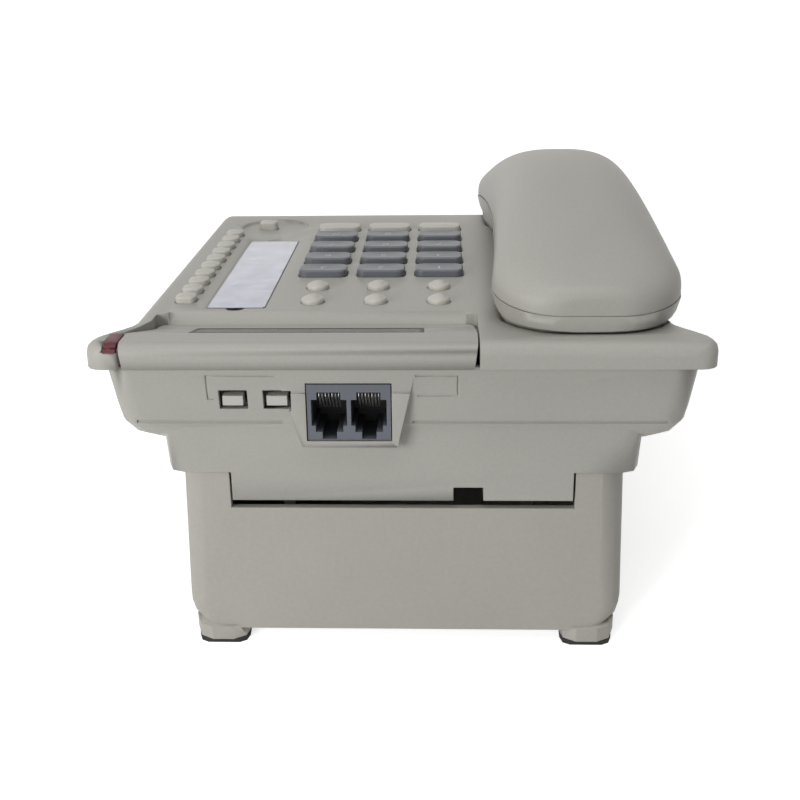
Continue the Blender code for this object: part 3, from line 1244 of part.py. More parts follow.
def handset_size(back, inset):
    """Half width, seam height, top and underside of the handset at a distance from the rear edge."""
    share = handset_share(back)
    from_end = (1 - share) * HANDSET_LENGTH / 2
    half = HANDSET_GRIP_HALF + (HANDSET_END_HALF - HANDSET_GRIP_HALF) * min(share * 1.25, 1.0) ** 2
    radius = HANDSET_PLAN_RADIUS
    half -= corner_inset(radius, max(from_end - inset, 0.0)) + inset
    arch = HANDSET_ARCH_TOP - (HANDSET_ARCH_TOP - HANDSET_END_TOP) * share * share
    top = arch - inset - corner_inset(HANDSET_END_FILLET, max(from_end - inset, 0.0))
    seam = HANDSET_SEAM_GRIP + (HANDSET_SEAM_END - HANDSET_SEAM_GRIP) * share * share
    cap_end = CAP_REAR - HANDSET_REAR + CAP_LENGTH
    rise = min(max((from_end - cap_end) / HANDSET_UNDER_SLOPE, 0.0), 1.0)
    under = HANDSET_UNDER + (HANDSET_GRIP_UNDER - HANDSET_UNDER) * rise * rise * (3 - 2 * rise) + inset
    return half, seam, top, under


def handset_backs(inset):
    """Distances from the rear edge at which the handset is drawn; a hollow's lie beside its shell's."""
    beside = GAP if inset else 0.0
    rounding = [HANDSET_PLAN_RADIUS * share for share in HANDSET_ROUNDING]
    cap_end = CAP_REAR - HANDSET_REAR + CAP_LENGTH
    under = [cap_end + HANDSET_UNDER_SLOPE * share for share in (0.0, 0.35, 0.65, 1.0)]
    half_run = [max(d + beside, inset) for d in (*rounding, *HANDSET_SIDE_STATIONS, *under)]
    half_run = [inset] + [d for d in half_run if d > inset + GAP]
    near = [HANDSET_REAR + d for d in half_run]
    far = [HANDSET_REAR + HANDSET_LENGTH - d for d in reversed(half_run)]
    return near + [HANDSET_REAR + HANDSET_LENGTH / 2 + beside] + far


def upper_stations(inset, low_extra):
    """Half profiles of the handset's back shell: straight up from the seam, then a bowed crown."""
    stations = []
    for back in handset_backs(inset):
        half, seam, top, _ = handset_size(back, inset)
        low = seam + GAP / 2
        rise = top - low
        profile = [(half - HANDSET_REVEAL, -back, low - low_extra)]
        if low_extra:
            profile.append((half - HANDSET_REVEAL, -back, low + GAP))
        for angle in HANDSET_CROWN_ANGLES:
            a = math.radians(angle)
            reach = half * math.cos(a) ** (2 / HANDSET_BOW)
            profile.append((reach, -back, low + rise * math.sin(a) ** (2 / HANDSET_BOW)))
        stations.append(profile)
    return stations


def lower_stations(inset, top_extra):
    """Half profiles of the handset's face shell, from the seam down to its underside."""
    stations = []
    for back in handset_backs(inset):
        half, seam, _, under = handset_size(back, inset)
        high = seam - GAP / 2
        taper = min(HANDSET_FACE_TAPER, half * 0.3)
        profile = [(half, -back, high + top_extra)]
        if top_extra:
            profile.append((half, -back, high - GAP))
        profile.append((half - taper * 0.5, -back, high + (under - high) * 0.6))
        profile.append((half - taper, -back, under + (high - under) * 0.1))
        profile.append((half - taper * 1.3, -back, under))
        stations.append(profile)
    return stations


def make_handset(casing, capsule_material, jack_material):
    """Handset: back shell, face shell with its two caps, receiver, microphone and cord jack."""
    middle = -HANDSET_REAR - HANDSET_LENGTH / 2
    origin = (HANDSET_X, middle, 0.0)
    upper = place("handset_back_shell", mirrored_loft(upper_stations(0.0, 0.0), HANDSET_X), casing, origin)
    hollow = mirrored_loft(upper_stations(HANDSET_WALL, 2 * CUT), HANDSET_X)
    combine(upper, "DIFFERENCE", place("cut_back_shell_hollow", hollow, None))

    lower = place("handset_face_shell", mirrored_loft(lower_stations(0.0, 0.0), HANDSET_X), casing, origin)
    for end, side in ((0, "ear"), (1, "mouth")):
        cap = cap_block(end, 0.0, -CAP_DROP, HANDSET_UNDER + CUT)
        combine(lower, "UNION", place(f"add_{side}_cap", cap, None))
    hollow = mirrored_loft(lower_stations(HANDSET_WALL, CUT), HANDSET_X)
    combine(lower, "DIFFERENCE", place("cut_face_shell_hollow", hollow, None))
    for end, side in ((0, "ear"), (1, "mouth")):
        hollow = cap_block(end, -HANDSET_WALL, -CAP_DROP + HANDSET_WALL, HANDSET_UNDER + 3 * CUT)
        combine(lower, "DIFFERENCE", place(f"cut_{side}_cap_hollow", hollow, None))

    ear = -CAP_REAR - CAP_LENGTH / 2
    mouth = 2 * middle - ear
    seat = -CAP_DROP + HANDSET_WALL + GAP
    for name, y, radius, height in (
        ("handset_receiver", ear, RECEIVER_RADIUS, RECEIVER_HEIGHT),
        ("handset_microphone", mouth, MICROPHONE_RADIUS, MICROPHONE_HEIGHT),
    ):
        bm = bmesh.new()
        levels = ((1.0, 0.0), (1.0, 0.5), (0.8, 0.6), (0.8, 1.0))
        centre = (HANDSET_X, y)
        rings = [(circle(radius * share, centre, 20), seat + height * rise) for share, rise in levels]
        skin(bm, [[(*point, z) for point in ring] for ring, z in rings])
        place(name, bm, capsule_material, (HANDSET_X, y, seat))

    front = -HANDSET_REAR - HANDSET_LENGTH
    mouth_y = front + HANDSET_SOCKET_DEPTH
    half = CORD_JACK_WIDTH / 2
    low = (HANDSET_X - half, mouth_y + GAP, -CAP_DROP + HANDSET_WALL / 2)
    seat_top = HANDSET_SOCKET_Z - CORD_JACK_HEIGHT / 2 - GAP
    high = (HANDSET_X + half, mouth_y + CORD_JACK_LENGTH - GAP, seat_top)
    combine(lower, "UNION", place("add_jack_seat", box(low, high), None))
    half, rise = CORD_JACK_BORE_WIDTH / 2 + GAP, CORD_JACK_BORE_HEIGHT / 2 + CORD_JACK_KEY
    low = (HANDSET_X - half, front - CUT, HANDSET_SOCKET_Z - rise)
    high = (HANDSET_X + half, mouth_y - GAP, HANDSET_SOCKET_Z + rise)
    for shell, name in ((upper, "back"), (lower, "face")):
        combine(shell, "DIFFERENCE", place(f"cut_{name}_socket", box(low, high), None))
    socket = Vector((HANDSET_X, mouth_y, HANDSET_SOCKET_Z))
    turn = Matrix.Translation(socket) @ Matrix.Rotation(math.radians(-90), 4, "Z")
    make_cord_jack("handset_cord_jack", jack_material, turn, socket)


def make_plunger(material):
    """Hook plunger: a stem flush with the rear cradle's floor, with the flange that keeps it in."""
    top = -CAP_DROP - 2 * GAP
    stop = CRADLE_FOOT - PLUNGER_RISE - GAP
    levels = (
        (-PLUNGER_BEVEL, top),
        (0.0, top - 2 * PLUNGER_BEVEL),
        (0.0, stop),
        (KEY_FLANGE, stop),
        (KEY_FLANGE, stop - FLANGE_THICKNESS),
    )
    loops = []
    for grow, z in levels:
        size = (PLUNGER_WIDTH + 2 * grow, PLUNGER_LENGTH + 2 * grow, PLUNGER_CORNER + grow)
        loops.append([(x, y, z) for x, y in rounded_rectangle(*size, (HANDSET_X, -PLUNGER_Y))])
    bm = bmesh.new()
    skin(bm, loops)
    place("hook_plunger", bm, material, (HANDSET_X, -PLUNGER_Y, top))


def stand_on_origin(frame):
    """Leans the telephone on its stand and puts the middle of its footprint on the world's origin."""
    frame.rotation_euler.x = LEAN
    bpy.context.view_layer.update()
    graph = bpy.context.evaluated_depsgraph_get()
    ys = []
    zs = []
    for obj in bpy.data.objects:
        if obj.type != "MESH" or obj.hide_render:
            continue
        shown = obj.evaluated_get(graph)
        for vertex in shown.to_mesh().vertices:
            point = shown.matrix_world @ vertex.co
            ys.append(point.y)
            zs.append(point.z)
        shown.to_mesh_clear()
    frame.location = (0.0, -(min(ys) + max(ys)) / 2, -min(zs))


def main():
    for obj in list(bpy.data.objects):
        bpy.data.objects.remove(obj, do_unlink=True)
    frame = bpy.data.objects.new("telephone_frame", None)
    bpy.context.collection.objects.link(frame)
    casing = finish("warm grey casing", (0.62, 0.60, 0.55), 0.5)
    make_top_cover(casing)
    make_lower_case(casing)
    make_stand(casing)
    rubber = finish("black rubber", (0.02, 0.02, 0.02), 0.8)
    make_feet(rubber)
    window = finish("smoked window", (0.02, 0.02, 0.025), 0.15, 0.0, 0.6)
    board = finish("circuit board", (0.05, 0.20, 0.08), 0.6)
    make_display(casing, window, board)
    make_lamp(finish("red lamp lens", (0.25, 0.01, 0.02), 0.2))
    light = finish("light keys", (0.74, 0.71, 0.66), 0.45)
    make_keys(finish("slate dial keys", (0.09, 0.10, 0.12), 0.5), light)
    clear = finish("clear cover", (0.9, 0.9, 0.92), 0.1, 0.0, 0.3)
    make_card(finish("index card", (0.72, 0.73, 0.80), 0.6), clear)
    make_boards(finish("keypad rubber", (0.3, 0.3, 0.3), 0.8), board)
    make_loudspeaker(finish("loudspeaker steel", (0.35, 0.35, 0.36), 0.5, 0.6))
    jack = finish("jack plastic", (0.16, 0.18, 0.21), 0.5)
    make_line_jacks(jack, finish("jack insert", (0.05, 0.05, 0.06), 0.5))
    make_switches(finish("switch housing", (0.04, 0.04, 0.04), 0.5), light)
    mouth = Vector((-cord_jack_face(), -BASE_JACK_Y, -BASE_JACK_Z))
    turn = Matrix.Translation(mouth) @ Matrix.Rotation(math.pi, 4, "Z")
    make_cord_jack("base_cord_jack", jack, turn, mouth)
    make_handset(casing, finish("capsule", (0.10, 0.10, 0.10), 0.6), jack)
    make_plunger(light)
    stand_on_origin(frame)


main()
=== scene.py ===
"""Corded desk telephone: the looks of its casing, keys, display, line jacks, switches and handset.

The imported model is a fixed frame. Every piece is drawn in the telephone's own frame, with +X to the user's
right, +Y towards the rear wall and +Z square to the key deck, and is then placed in the world, where the
telephone leans back on its stand. Sizes are in metres.
"""

import json
import logging
import math
from dataclasses import dataclass
from enum import Enum
from typing import Sequence

import bmesh
import bpy
from mathutils import Matrix, Vector
from mathutils.bvhtree import BVHTree


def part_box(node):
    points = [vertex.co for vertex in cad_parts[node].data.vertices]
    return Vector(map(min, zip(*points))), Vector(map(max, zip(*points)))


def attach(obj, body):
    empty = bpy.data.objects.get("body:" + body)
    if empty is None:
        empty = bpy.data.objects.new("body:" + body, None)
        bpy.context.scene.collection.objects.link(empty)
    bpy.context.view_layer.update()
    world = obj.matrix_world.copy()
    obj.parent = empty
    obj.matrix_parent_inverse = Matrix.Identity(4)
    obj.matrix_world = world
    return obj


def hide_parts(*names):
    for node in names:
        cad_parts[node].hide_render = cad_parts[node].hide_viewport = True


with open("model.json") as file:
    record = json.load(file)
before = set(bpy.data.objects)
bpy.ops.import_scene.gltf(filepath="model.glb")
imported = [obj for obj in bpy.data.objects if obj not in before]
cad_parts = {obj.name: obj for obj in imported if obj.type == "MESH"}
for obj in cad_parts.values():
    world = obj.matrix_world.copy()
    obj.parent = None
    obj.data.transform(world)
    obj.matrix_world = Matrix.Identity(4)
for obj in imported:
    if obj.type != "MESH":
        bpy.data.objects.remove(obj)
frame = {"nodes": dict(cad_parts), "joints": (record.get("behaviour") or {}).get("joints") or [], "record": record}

log = logging.getLogger("desk_telephone")

Pair = tuple[float, float]
Triple = tuple[float, float, float]
Node = bpy.types.Node
Socket = bpy.types.NodeSocket
Object = bpy.types.Object
Mesh = bpy.types.Mesh
Material = bpy.types.Material

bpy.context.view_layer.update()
BODY_OF = {node: body for body, nodes in frame["record"]["behaviour"]["bodies"].items() for node in nodes}
LEAN = math.radians(18.0)
HINGE_IN_DECK = Vector((0.0, -0.0278, -0.0050))
MERGE_DISTANCE = 2e-6
GAP = 0.0003
SHARP = 38.0
NOISE_ROUGHNESS = 0.55
NOISE_MIDDLE = (0.3, 0.7)
WHITE = (1.0, 1.0, 1.0, 1.0)


def paint(levels: tuple[int, int, int]) -> Triple:
    """Turns an 8-bit display colour into the linear colour that a shader takes."""
    shares = (level / 255 for level in levels)
    return tuple(s / 12.92 if s <= 0.04045 else ((s + 0.055) / 1.055) ** 2.4 for s in shares)


@dataclass(frozen=True)
class Extent:
    """Lowest and highest corner of something in the deck's frame."""

    low: Vector
    high: Vector

    @property
    def centre(self) -> Vector:
        """Middle of the extent."""
        return (self.low + self.high) / 2

    @property
    def size(self) -> Vector:
        """Width, depth and height."""
        return self.high - self.low


class DeckFrame:
    """The telephone's own frame: its leaning key deck is z = 0 and the deck's rear edge is y = 0."""

    def __init__(self, joints: Sequence[dict]) -> None:
        """Reads the frame's place from the display's hinge.

        Args:
            joints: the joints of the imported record.
        """
        hinge = next(joint for joint in joints if joint["name"] == "display_tilt")
        turn = Matrix.Rotation(LEAN, 4, "X")
        shift = Vector(hinge["pos_m"]) - turn @ HINGE_IN_DECK
        self.matrix: Matrix = Matrix.Translation(shift) @ turn
        self.inverse: Matrix = self.matrix.inverted()

    def extent(self, node: str) -> Extent:
        """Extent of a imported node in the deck's frame, measured on its vertices.

        Args:
            node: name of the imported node.

        Returns:
            Its corners.
        """
        axes = list(zip(*(self.inverse @ vertex.co for vertex in frame["nodes"][node].data.vertices)))
        return Extent(Vector(map(min, axes)), Vector(map(max, axes)))


def new_object(name: str, mesh: Mesh) -> Object:
    """Puts a mesh into the scene as an object.

    Args:
        name: name of the object.
        mesh: its mesh, or its curve, light or camera.

    Returns:
        The object.
    """
    made = bpy.data.objects.new(name, mesh)
    bpy.context.collection.objects.link(made)
    return made


def point_mesh(name: str, points: Sequence[Sequence[float]], linked: bool = False) -> Mesh:
    """A mesh of points.

    Args:
        name: name of the mesh.
        points: places of its vertices.
        linked: whether edges join each point to the next.

    Returns:
        The mesh.
    """
    mesh = bpy.data.meshes.new(name)
    mesh.from_pydata(points, [(k, k + 1) for k in range(len(points) - 1)] if linked else [], [])
    return mesh


def shape_object(name: str, bm: bmesh.types.BMesh) -> Object:
    """Ends a bmesh as a new object.

    Args:
        name: name of the object and its mesh.
        bm: the bmesh, which is freed.

    Returns:
        The object.
    """
    mesh = bpy.data.meshes.new(name)
    bm.to_mesh(mesh)
    bm.free()
    return new_object(name, mesh)


def block(name: str, size: Vector, bevel: float = 0.0) -> Object:
    """A block about the origin, with rounded edges where a bevel is given.

    Args:
        name: name of the object.
        size: width, depth and height.
        bevel: radius of its edges.

    Returns:
        The object.
    """
    bm = bmesh.new()
    bmesh.ops.create_cube(bm, size=1.0)
    bmesh.ops.scale(bm, vec=size, verts=bm.verts)
    if bevel:
        bmesh.ops.bevel(bm, geom=bm.edges, offset=bevel, segments=2, profile=0.5, affect="EDGES")
    return shape_object(name, bm)


def settle(piece: Object) -> Object:
    """Turns a piece's modifiers into a plain mesh and removes them.

    Args:
        piece: the object.

    Returns:
        The same object.
    """
    graph = bpy.context.evaluated_depsgraph_get()
    mesh = bpy.data.meshes.new_from_object(
        piece.evaluated_get(graph), preserve_all_data_layers=True, depsgraph=graph
    )
    piece.modifiers.clear()
    piece.data = mesh
    mesh.name = piece.name
    return piece


class NodeSheet:
    """Short hand for filling a node tree."""

    def __init__(self, tree: bpy.types.NodeTree) -> None:
        """Keeps the tree that is filled."""
        self.tree = tree

    def feed(self, node: Node, inputs: dict) -> Node:
        """Gives a node's inputs, by name or number, their values or source sockets.

        Args:
            node: the node.
            inputs: value or source socket of each input.

        Returns:
            The same node.
        """
        for key, value in inputs.items():
            if isinstance(value, Socket):
                self.tree.links.new(value, node.inputs[key])
            else:
                node.inputs[key].default_value = value
        return node

    def node(self, kind: str, inputs: dict | None = None, **settings: object) -> Node:
        """Adds one node.

        Args:
            kind: the node's type name.
            inputs: value or source socket of each input, by name or number.
            settings: properties of the node.

        Returns:
            The new node.
        """
        made = self.tree.nodes.new(kind)
        for name, value in settings.items():
            setattr(made, name, value)
        return self.feed(made, inputs or {})

    def maths(self, operation: str, first: Socket | float, second: Socket | float = 0.0) -> Socket:
        """One sum on two numbers."""
        return self.node("ShaderNodeMath", {0: first, 1: second}, operation=operation).outputs[0]

    def dot(self, first: Socket, second: Socket | Triple) -> Socket:
        """Dot product of two vectors."""
        inputs = {0: first, 1: second}
        return self.node("ShaderNodeVectorMath", inputs, operation="DOT_PRODUCT").outputs["Value"]

    def ranged(self, value: Socket, source: Pair, target: Pair = (0.0, 1.0)) -> Socket:
        """Maps numbers from the source range to the target range.

        Args:
            value: the numbers.
            source: where they start and end.
            target: what those ends become.

        Returns:
            Socket of the result.
        """
        names = ("From Min", "From Max", "To Min", "To Max")
        inputs = dict(zip(names, (*source, *target)), Value=value)
        return self.node("ShaderNodeMapRange", inputs).outputs[0]

    def place(self) -> Socket:
        """Object coordinates."""
        return self.node("ShaderNodeTexCoord").outputs["Object"]

    def noise(self, place: Socket, size: float, detail: float) -> Socket:
        """Noise whose patches are about this size across."""
        inputs = {"Vector": place, "Scale": 1 / size, "Detail": detail, "Roughness": NOISE_ROUGHNESS}
        return self.node("ShaderNodeTexNoise", inputs).outputs[0]

    def spread(self, noise: Socket, low: float, high: float) -> Socket:
        """Maps the middle of a noise to a range."""
        return self.ranged(noise, NOISE_MIDDLE, (low, high))

    def stretched(self, place: Socket, squeeze: float) -> Socket:
        """Coordinates that draw a noise out along Y."""
        return self.node("ShaderNodeMapping", {"Vector": place, "Scale": (1.0, squeeze, 1.0)}).outputs[0]

    def bump(self, height: Socket, distance: float, normal: Socket | None = None) -> Socket:
        """Relief of a noise, over a softened normal where there is one.

        Args:
            height: the noise.
            distance: height of the relief in metres.
            normal: the normal that it lies on.

        Returns:
            Socket of the new normal.
        """
        inputs = {"Height": height, "Strength": 1.0, "Distance": distance}
        if normal is not None:
            inputs["Normal"] = normal
        return self.node("ShaderNodeBump", inputs).outputs[0]


class GeometryTree(NodeSheet):
    """A Geometry Nodes tree with named inputs, and the meshes that it makes."""

    def __init__(self, name: str, takes_mesh: bool = False, **values: float) -> None:
        """Starts the tree.

        Args:
            name: plain name of what it makes.
            takes_mesh: whether it reads the mesh of the object that carries it.
            values: its inputs and what they are; a whole number makes a count.
        """
        super().__init__(bpy.data.node_groups.new(name, "GeometryNodeTree"))
        self.values = values
        ports = self.tree.interface
        ports.new_socket("Geometry", in_out="OUTPUT", socket_type="NodeSocketGeometry")
        if takes_mesh:
            ports.new_socket("Geometry", in_out="INPUT", socket_type="NodeSocketGeometry")
        ports.new_socket("Finish", in_out="INPUT", socket_type="NodeSocketMaterial")
        for port, value in values.items():
            kind = "NodeSocketInt" if isinstance(value, int) else "NodeSocketFloat"
            ports.new_socket(port, in_out="INPUT", socket_type=kind)
        self.entry = self.node("NodeGroupInput")

    def __getitem__(self, name: str) -> Socket:
        """The socket of an input."""
        return self.entry.outputs[name]

    def vector(self, x: Socket | float, y: Socket | float, z: Socket | float) -> Socket:
        """A vector from three numbers."""
        return self.node("ShaderNodeCombineXYZ", {0: x, 1: y, 2: z}).outputs[0]

    def bar(self, width: Socket, depth: Socket, height: Socket) -> Socket:
        """A block of the given size about the origin."""
        size = self.vector(width, depth, height)
        return self.node("GeometryNodeMeshCube", {"Size": size}).outputs["Mesh"]

    def cylinder(self, sides: int, radius: Socket, depth: Socket) -> Socket:
        """An upright cylinder about the origin."""
        inputs = {"Vertices": sides, "Radius": radius, "Depth": depth}
        return self.node("GeometryNodeMeshCylinder", inputs).outputs["Mesh"]

    def moved(self, geometry: Socket, vector: Socket, port: str = "Translation") -> Socket:
        """Geometry that is shifted, or scaled where the port says so."""
        return self.node("GeometryNodeTransform", {"Geometry": geometry, port: vector}).outputs[0]

    def joined(self, *parts: Socket) -> Socket:
        """Several geometries as one.

        Args:
            parts: sockets of the geometries.

        Returns:
            Socket of them all.
        """
        both = self.node("GeometryNodeJoinGeometry")
        for part in parts:
            self.tree.links.new(part, both.inputs[0])
        return both.outputs[0]

    def row(self, count: Socket | int, pitch: Socket) -> Socket:
        """Points at a pitch along X, centred on the origin.

        Args:
            count: how many points.
            pitch: distance from one to the next.

        Returns:
            Socket of the points.
        """
        reach = self.maths("MULTIPLY", self.maths("SUBTRACT", count, 1.0), pitch)
        start = self.vector(self.maths("MULTIPLY", reach, -0.5), 0.0, 0.0)
        inputs = {"Count": count, "Start Location": start, "Offset": self.vector(pitch, 0.0, 0.0)}
        return self.node("GeometryNodeMeshLine", inputs).outputs["Mesh"]

    def grid(self, counts: Sequence[Socket], pitches: Sequence[Socket]) -> Socket:
        """Points on a grid along X and Y, centred on the origin.

        Args:
            counts: points along X and along Y.
            pitches: distances along X and along Y.

        Returns:
            Socket of the points.
        """
        inputs = {}
        for axis, count, pitch in zip("XY", counts, pitches):
            inputs[f"Size {axis}"] = self.maths("MULTIPLY", pitch, self.maths("SUBTRACT", count, 1.0))
            inputs[f"Vertices {axis}"] = count
        return self.node("GeometryNodeMeshGrid", inputs).outputs["Mesh"]

    def route(self) -> Socket:
        """The edges of the mesh that the tree reads, as a curve."""
        return self.node("GeometryNodeMeshToCurve", {"Mesh": self["Geometry"]}).outputs[0]

    def filleted(self, curve: Socket, radius: Socket, count: int) -> Socket:
        """A curve with rounded corners of a few straight stretches each."""
        inputs = {"Curve": curve, "Count": count, "Radius": radius, "Limit Radius": True}
        return self.node("GeometryNodeFilletCurve", inputs, mode="POLY").outputs[0]

    def tube(self, curve: Socket, radius: Socket, sides: int) -> Socket:
        """A round bar along a curve, closed at both ends.

        Args:
            curve: its middle line.
            radius: its radius.
            sides: how many flat sides it has.

        Returns:
            Socket of the mesh.
        """
        ring = self.node("GeometryNodeCurvePrimitiveCircle", {"Resolution": sides, "Radius": radius})
        inputs = {"Curve": curve, "Profile Curve": ring.outputs["Curve"], "Fill Caps": True}
        return self.node("GeometryNodeCurveToMesh", inputs).outputs[0]

    def on_points(self, points: Socket, instance: Socket) -> Socket:
        """One copy of the instance on each point."""
        node = self.node("GeometryNodeInstanceOnPoints", {"Points": points, "Instance": instance})
        return node.outputs["Instances"]

    def close(self, geometry: Socket) -> "GeometryTree":
        """Ends the tree: makes the copies real, gives them the finish and hands them out.

        Args:
            geometry: what the tree makes.

        Returns:
            The same tree.
        """
        real = self.node("GeometryNodeRealizeInstances", {"Geometry": geometry}).outputs[0]
        inputs = {"Geometry": real, "Material": self["Finish"]}
        self.node("NodeGroupOutput", {0: self.node("GeometryNodeSetMaterial", inputs).outputs[0]})
        return self

    def make(self, name: str, finish: Material, base: Mesh | None = None, **changed: float) -> Object:
        """Runs the tree once.

        Args:
            name: name of the new piece.
            finish: material of the mesh.
            base: mesh that the tree reads, where it reads one.
            changed: inputs that differ from the tree's own values.

        Returns:
            An object with a plain mesh and no modifier.
        """
        mesh = base or bpy.data.meshes.new(name)
        if not mesh.materials:
            mesh.materials.append(finish)
        made = new_object(name, mesh)
        modifier = made.modifiers.new(self.tree.name, "NODES")
        modifier.node_group = self.tree
        values = {"Finish": finish, **self.values, **changed}
        for port in self.tree.interface.items_tree:
            if port.in_out == "INPUT" and port.name != "Geometry":
                modifier[port.identifier] = values[port.name]
        return settle(made)


def bar_grid(name: str, finish: Material, counts: tuple[int, int], pitches: Pair, bar: Triple) -> Object:
    """Equal bars on a grid, such as ruled lines and display cells.

    Args:
        name: name of the new piece.
        finish: its material.
        counts: columns and rows.
        pitches: distances between columns and between rows.
        bar: width, depth and height of one bar.

    Returns:
        An object about the origin.
    """
    names = ("columns", "rows", "across", "along", "width", "depth", "height")
    tree = GeometryTree("bar_grid", **dict(zip(names, counts + pitches + bar)))
    points = tree.grid((tree["columns"], tree["rows"]), (tree["across"], tree["along"]))
    bars = tree.bar(tree["width"], tree["depth"], tree["height"])
    return tree.close(tree.on_points(points, bars)).make(name, finish)


class Edge(Enum):
    """How soft a moulded edge is."""

    NONE = 0.0
    CRISP = 0.00015
    MOULDED = 0.00035


def new_material(name: str) -> tuple[Material, NodeSheet, Node]:
    """A new material, its tree and its Principled shader.

    Args:
        name: name of the material.

    Returns:
        All three.
    """
    material = bpy.data.materials.new(name)
    material.use_nodes = True
    return material, NodeSheet(material.node_tree), material.node_tree.nodes["Principled BSDF"]


@dataclass(frozen=True)
class Finish:
    """A surface finish, whose colour is in 8-bit display levels; its kinds fill in the shader."""

    name: str
    colour: tuple[int, int, int]
    roughness: float

    def build(self) -> Material:
        """Makes the material.

        Returns:
            The finished material.
        """
        material, sheet, shader = new_material(self.name)
        sheet.feed(shader, {"Base Color": (*paint(self.colour), 1.0), "Roughness": self.roughness})
        sheet.feed(shader, self.inputs(sheet, sheet.place()))
        return material

    def inputs(self, sheet: NodeSheet, place: Socket) -> dict:
        """What this kind of finish gives its shader, from object coordinates."""
        raise NotImplementedError

    def shade(self, sheet: NodeSheet, share: Socket) -> Socket:
        """The colour made lighter or darker by a share."""
        inputs = {0: paint(self.colour), "Scale": share}
        return sheet.node("ShaderNodeVectorMath", inputs, operation="SCALE").outputs[0]


@dataclass(frozen=True)
class Moulding(Finish):
    """Injection-moulded plastic or rubber with an eroded grain, faint mottling, and edges painted lighter, partly
    as handling wear and partly as a painted highlight.
    """

    grain: float = 0.00055
    grain_depth: float = 0.000012
    fleck_size: float = 1.6
    fleck: float = 0.03
    mottle_size: float = 0.045
    mottle: float = 0.035
    edge: Edge = Edge.MOULDED
    # how much lighter the edges are painted: partly wear, partly a painted highlight
    edge_light: float = 0.10
    edge_bend: float = 0.80
    gloss_swing: float = 0.05
    coat: float = 0.0
    coat_roughness: float = 0.12
    specular: float = 0.42

    def inputs(self, sheet: NodeSheet, place: Socket) -> dict:
        """Grain, mottling and softened edges, painted lighter partly as wear and partly as a highlight.

        Args:
            sheet: the material's tree.
            place: object coordinates.

        Returns:
            Inputs of the shader.
        """
        cloud = sheet.noise(place, self.mottle_size, 4.0)
        speck = sheet.noise(place, self.grain * self.fleck_size, 2.0)
        body = sheet.spread(cloud, 1 - self.mottle, 1 + self.mottle)
        share = sheet.maths("MULTIPLY", body, sheet.spread(speck, 1 - self.fleck, 1 + self.fleck))
        soft = None
        # Painted highlight mixed with wear: the colour is lighter where the bevelled normal bends away from the
        # true normal.
        if self.edge is not Edge.NONE:
            soft = sheet.node("ShaderNodeBevel", {"Radius": self.edge.value}, samples=4).outputs[0]
            match = sheet.dot(soft, sheet.node("ShaderNodeNewGeometry").outputs["Normal"])
            worn_and_highlit_edge = sheet.ranged(match, (self.edge_bend, 1.0), (1 + self.edge_light, 1.0))
            share = sheet.maths("MULTIPLY", share, worn_and_highlit_edge)
        return {
            "Base Color": self.shade(sheet, share),
            "Normal": sheet.bump(sheet.noise(place, self.grain, 2.0), self.grain_depth, soft),
            "Roughness": sheet.spread(
                cloud, self.roughness - self.gloss_swing, self.roughness + self.gloss_swing
            ),
            "Coat Weight": self.coat,
            "Coat Roughness": self.coat_roughness,
            "Specular IOR Level": self.specular,
        }


@dataclass(frozen=True)
class ShadedBore(Moulding):
    """Moulded plastic with painted shade: its colour darkens with the depth of a bore."""

    outwards: Triple = (0.0, 1.0, 0.0)
    face: float = 0.0
    depth: float = 0.004
    floor_share: float = 0.22

    def shade(self, sheet: NodeSheet, share: Socket) -> Socket:
        """The moulding's colour, darker behind the face: painted shade in the bore.

        Args:
            sheet: the material's tree.
            share: mottling of the moulding.

        Returns:
            Socket of the colour.
        """
        along = sheet.dot(sheet.place(), self.outwards)
        # painted shade: the colour falls to floor_share of itself at the given depth behind the face
        light = sheet.ranged(along, (self.face - self.depth, self.face), (self.floor_share, 1.0))
        return super().shade(sheet, sheet.maths("MULTIPLY", share, light))


@dataclass(frozen=True)
class Clear(Finish):
    """Clear or tinted acrylic with faint ripples and rubbed patches."""

    transmission: float = 1.0
    refraction: float = 1.49
    ripple_size: float = 0.02
    ripple_depth: float = 0.00002
    rub_size: float = 0.006
    rub_haze: float = 0.10
    rub_tone: float = 0.03

    def inputs(self, sheet: NodeSheet, place: Socket) -> dict:
        """Transmission, ripples and rubbed patches.

        Args:
            sheet: the material's tree.
            place: object coordinates.

        Returns:
            Inputs of the shader.
        """
        rubbed = sheet.noise(place, self.rub_size, 5.0)
        return {
            "Base Color": self.shade(sheet, sheet.spread(rubbed, 1 - self.rub_tone, 1 + self.rub_tone)),
            "Normal": sheet.bump(sheet.noise(place, self.ripple_size, 1.0), self.ripple_depth),
            "Roughness": sheet.spread(rubbed, self.roughness, self.roughness + self.rub_haze),
            "Transmission Weight": self.transmission,
            "IOR": self.refraction,
        }


@dataclass(frozen=True)
class Metal(Finish):
    """Plated or pressed metal with fine drawing marks and tarnish."""

    marks: float = 0.0004
    mark_depth: float = 0.000004
    mark_squeeze: float = 0.08
    tarnish_size: float = 0.004
    tarnish_tones: Pair = (0.85, 1.05)
    tarnish_gloss: Pair = (0.12, -0.04)

    def inputs(self, sheet: NodeSheet, place: Socket) -> dict:
        """Drawing marks and tarnish.

        Args:
            sheet: the material's tree.
            place: object coordinates.

        Returns:
            Inputs of the shader.
        """
        lines = sheet.noise(sheet.stretched(place, self.mark_squeeze), self.marks, 2.0)
        tarnish = sheet.noise(place, self.tarnish_size, 4.0)
        return {
            "Base Color": self.shade(sheet, sheet.spread(tarnish, *self.tarnish_tones)),
            "Normal": sheet.bump(lines, self.mark_depth),
            "Roughness": sheet.spread(tarnish, *(self.roughness + swing for swing in self.tarnish_gloss)),
            "Metallic": 1.0,
        }


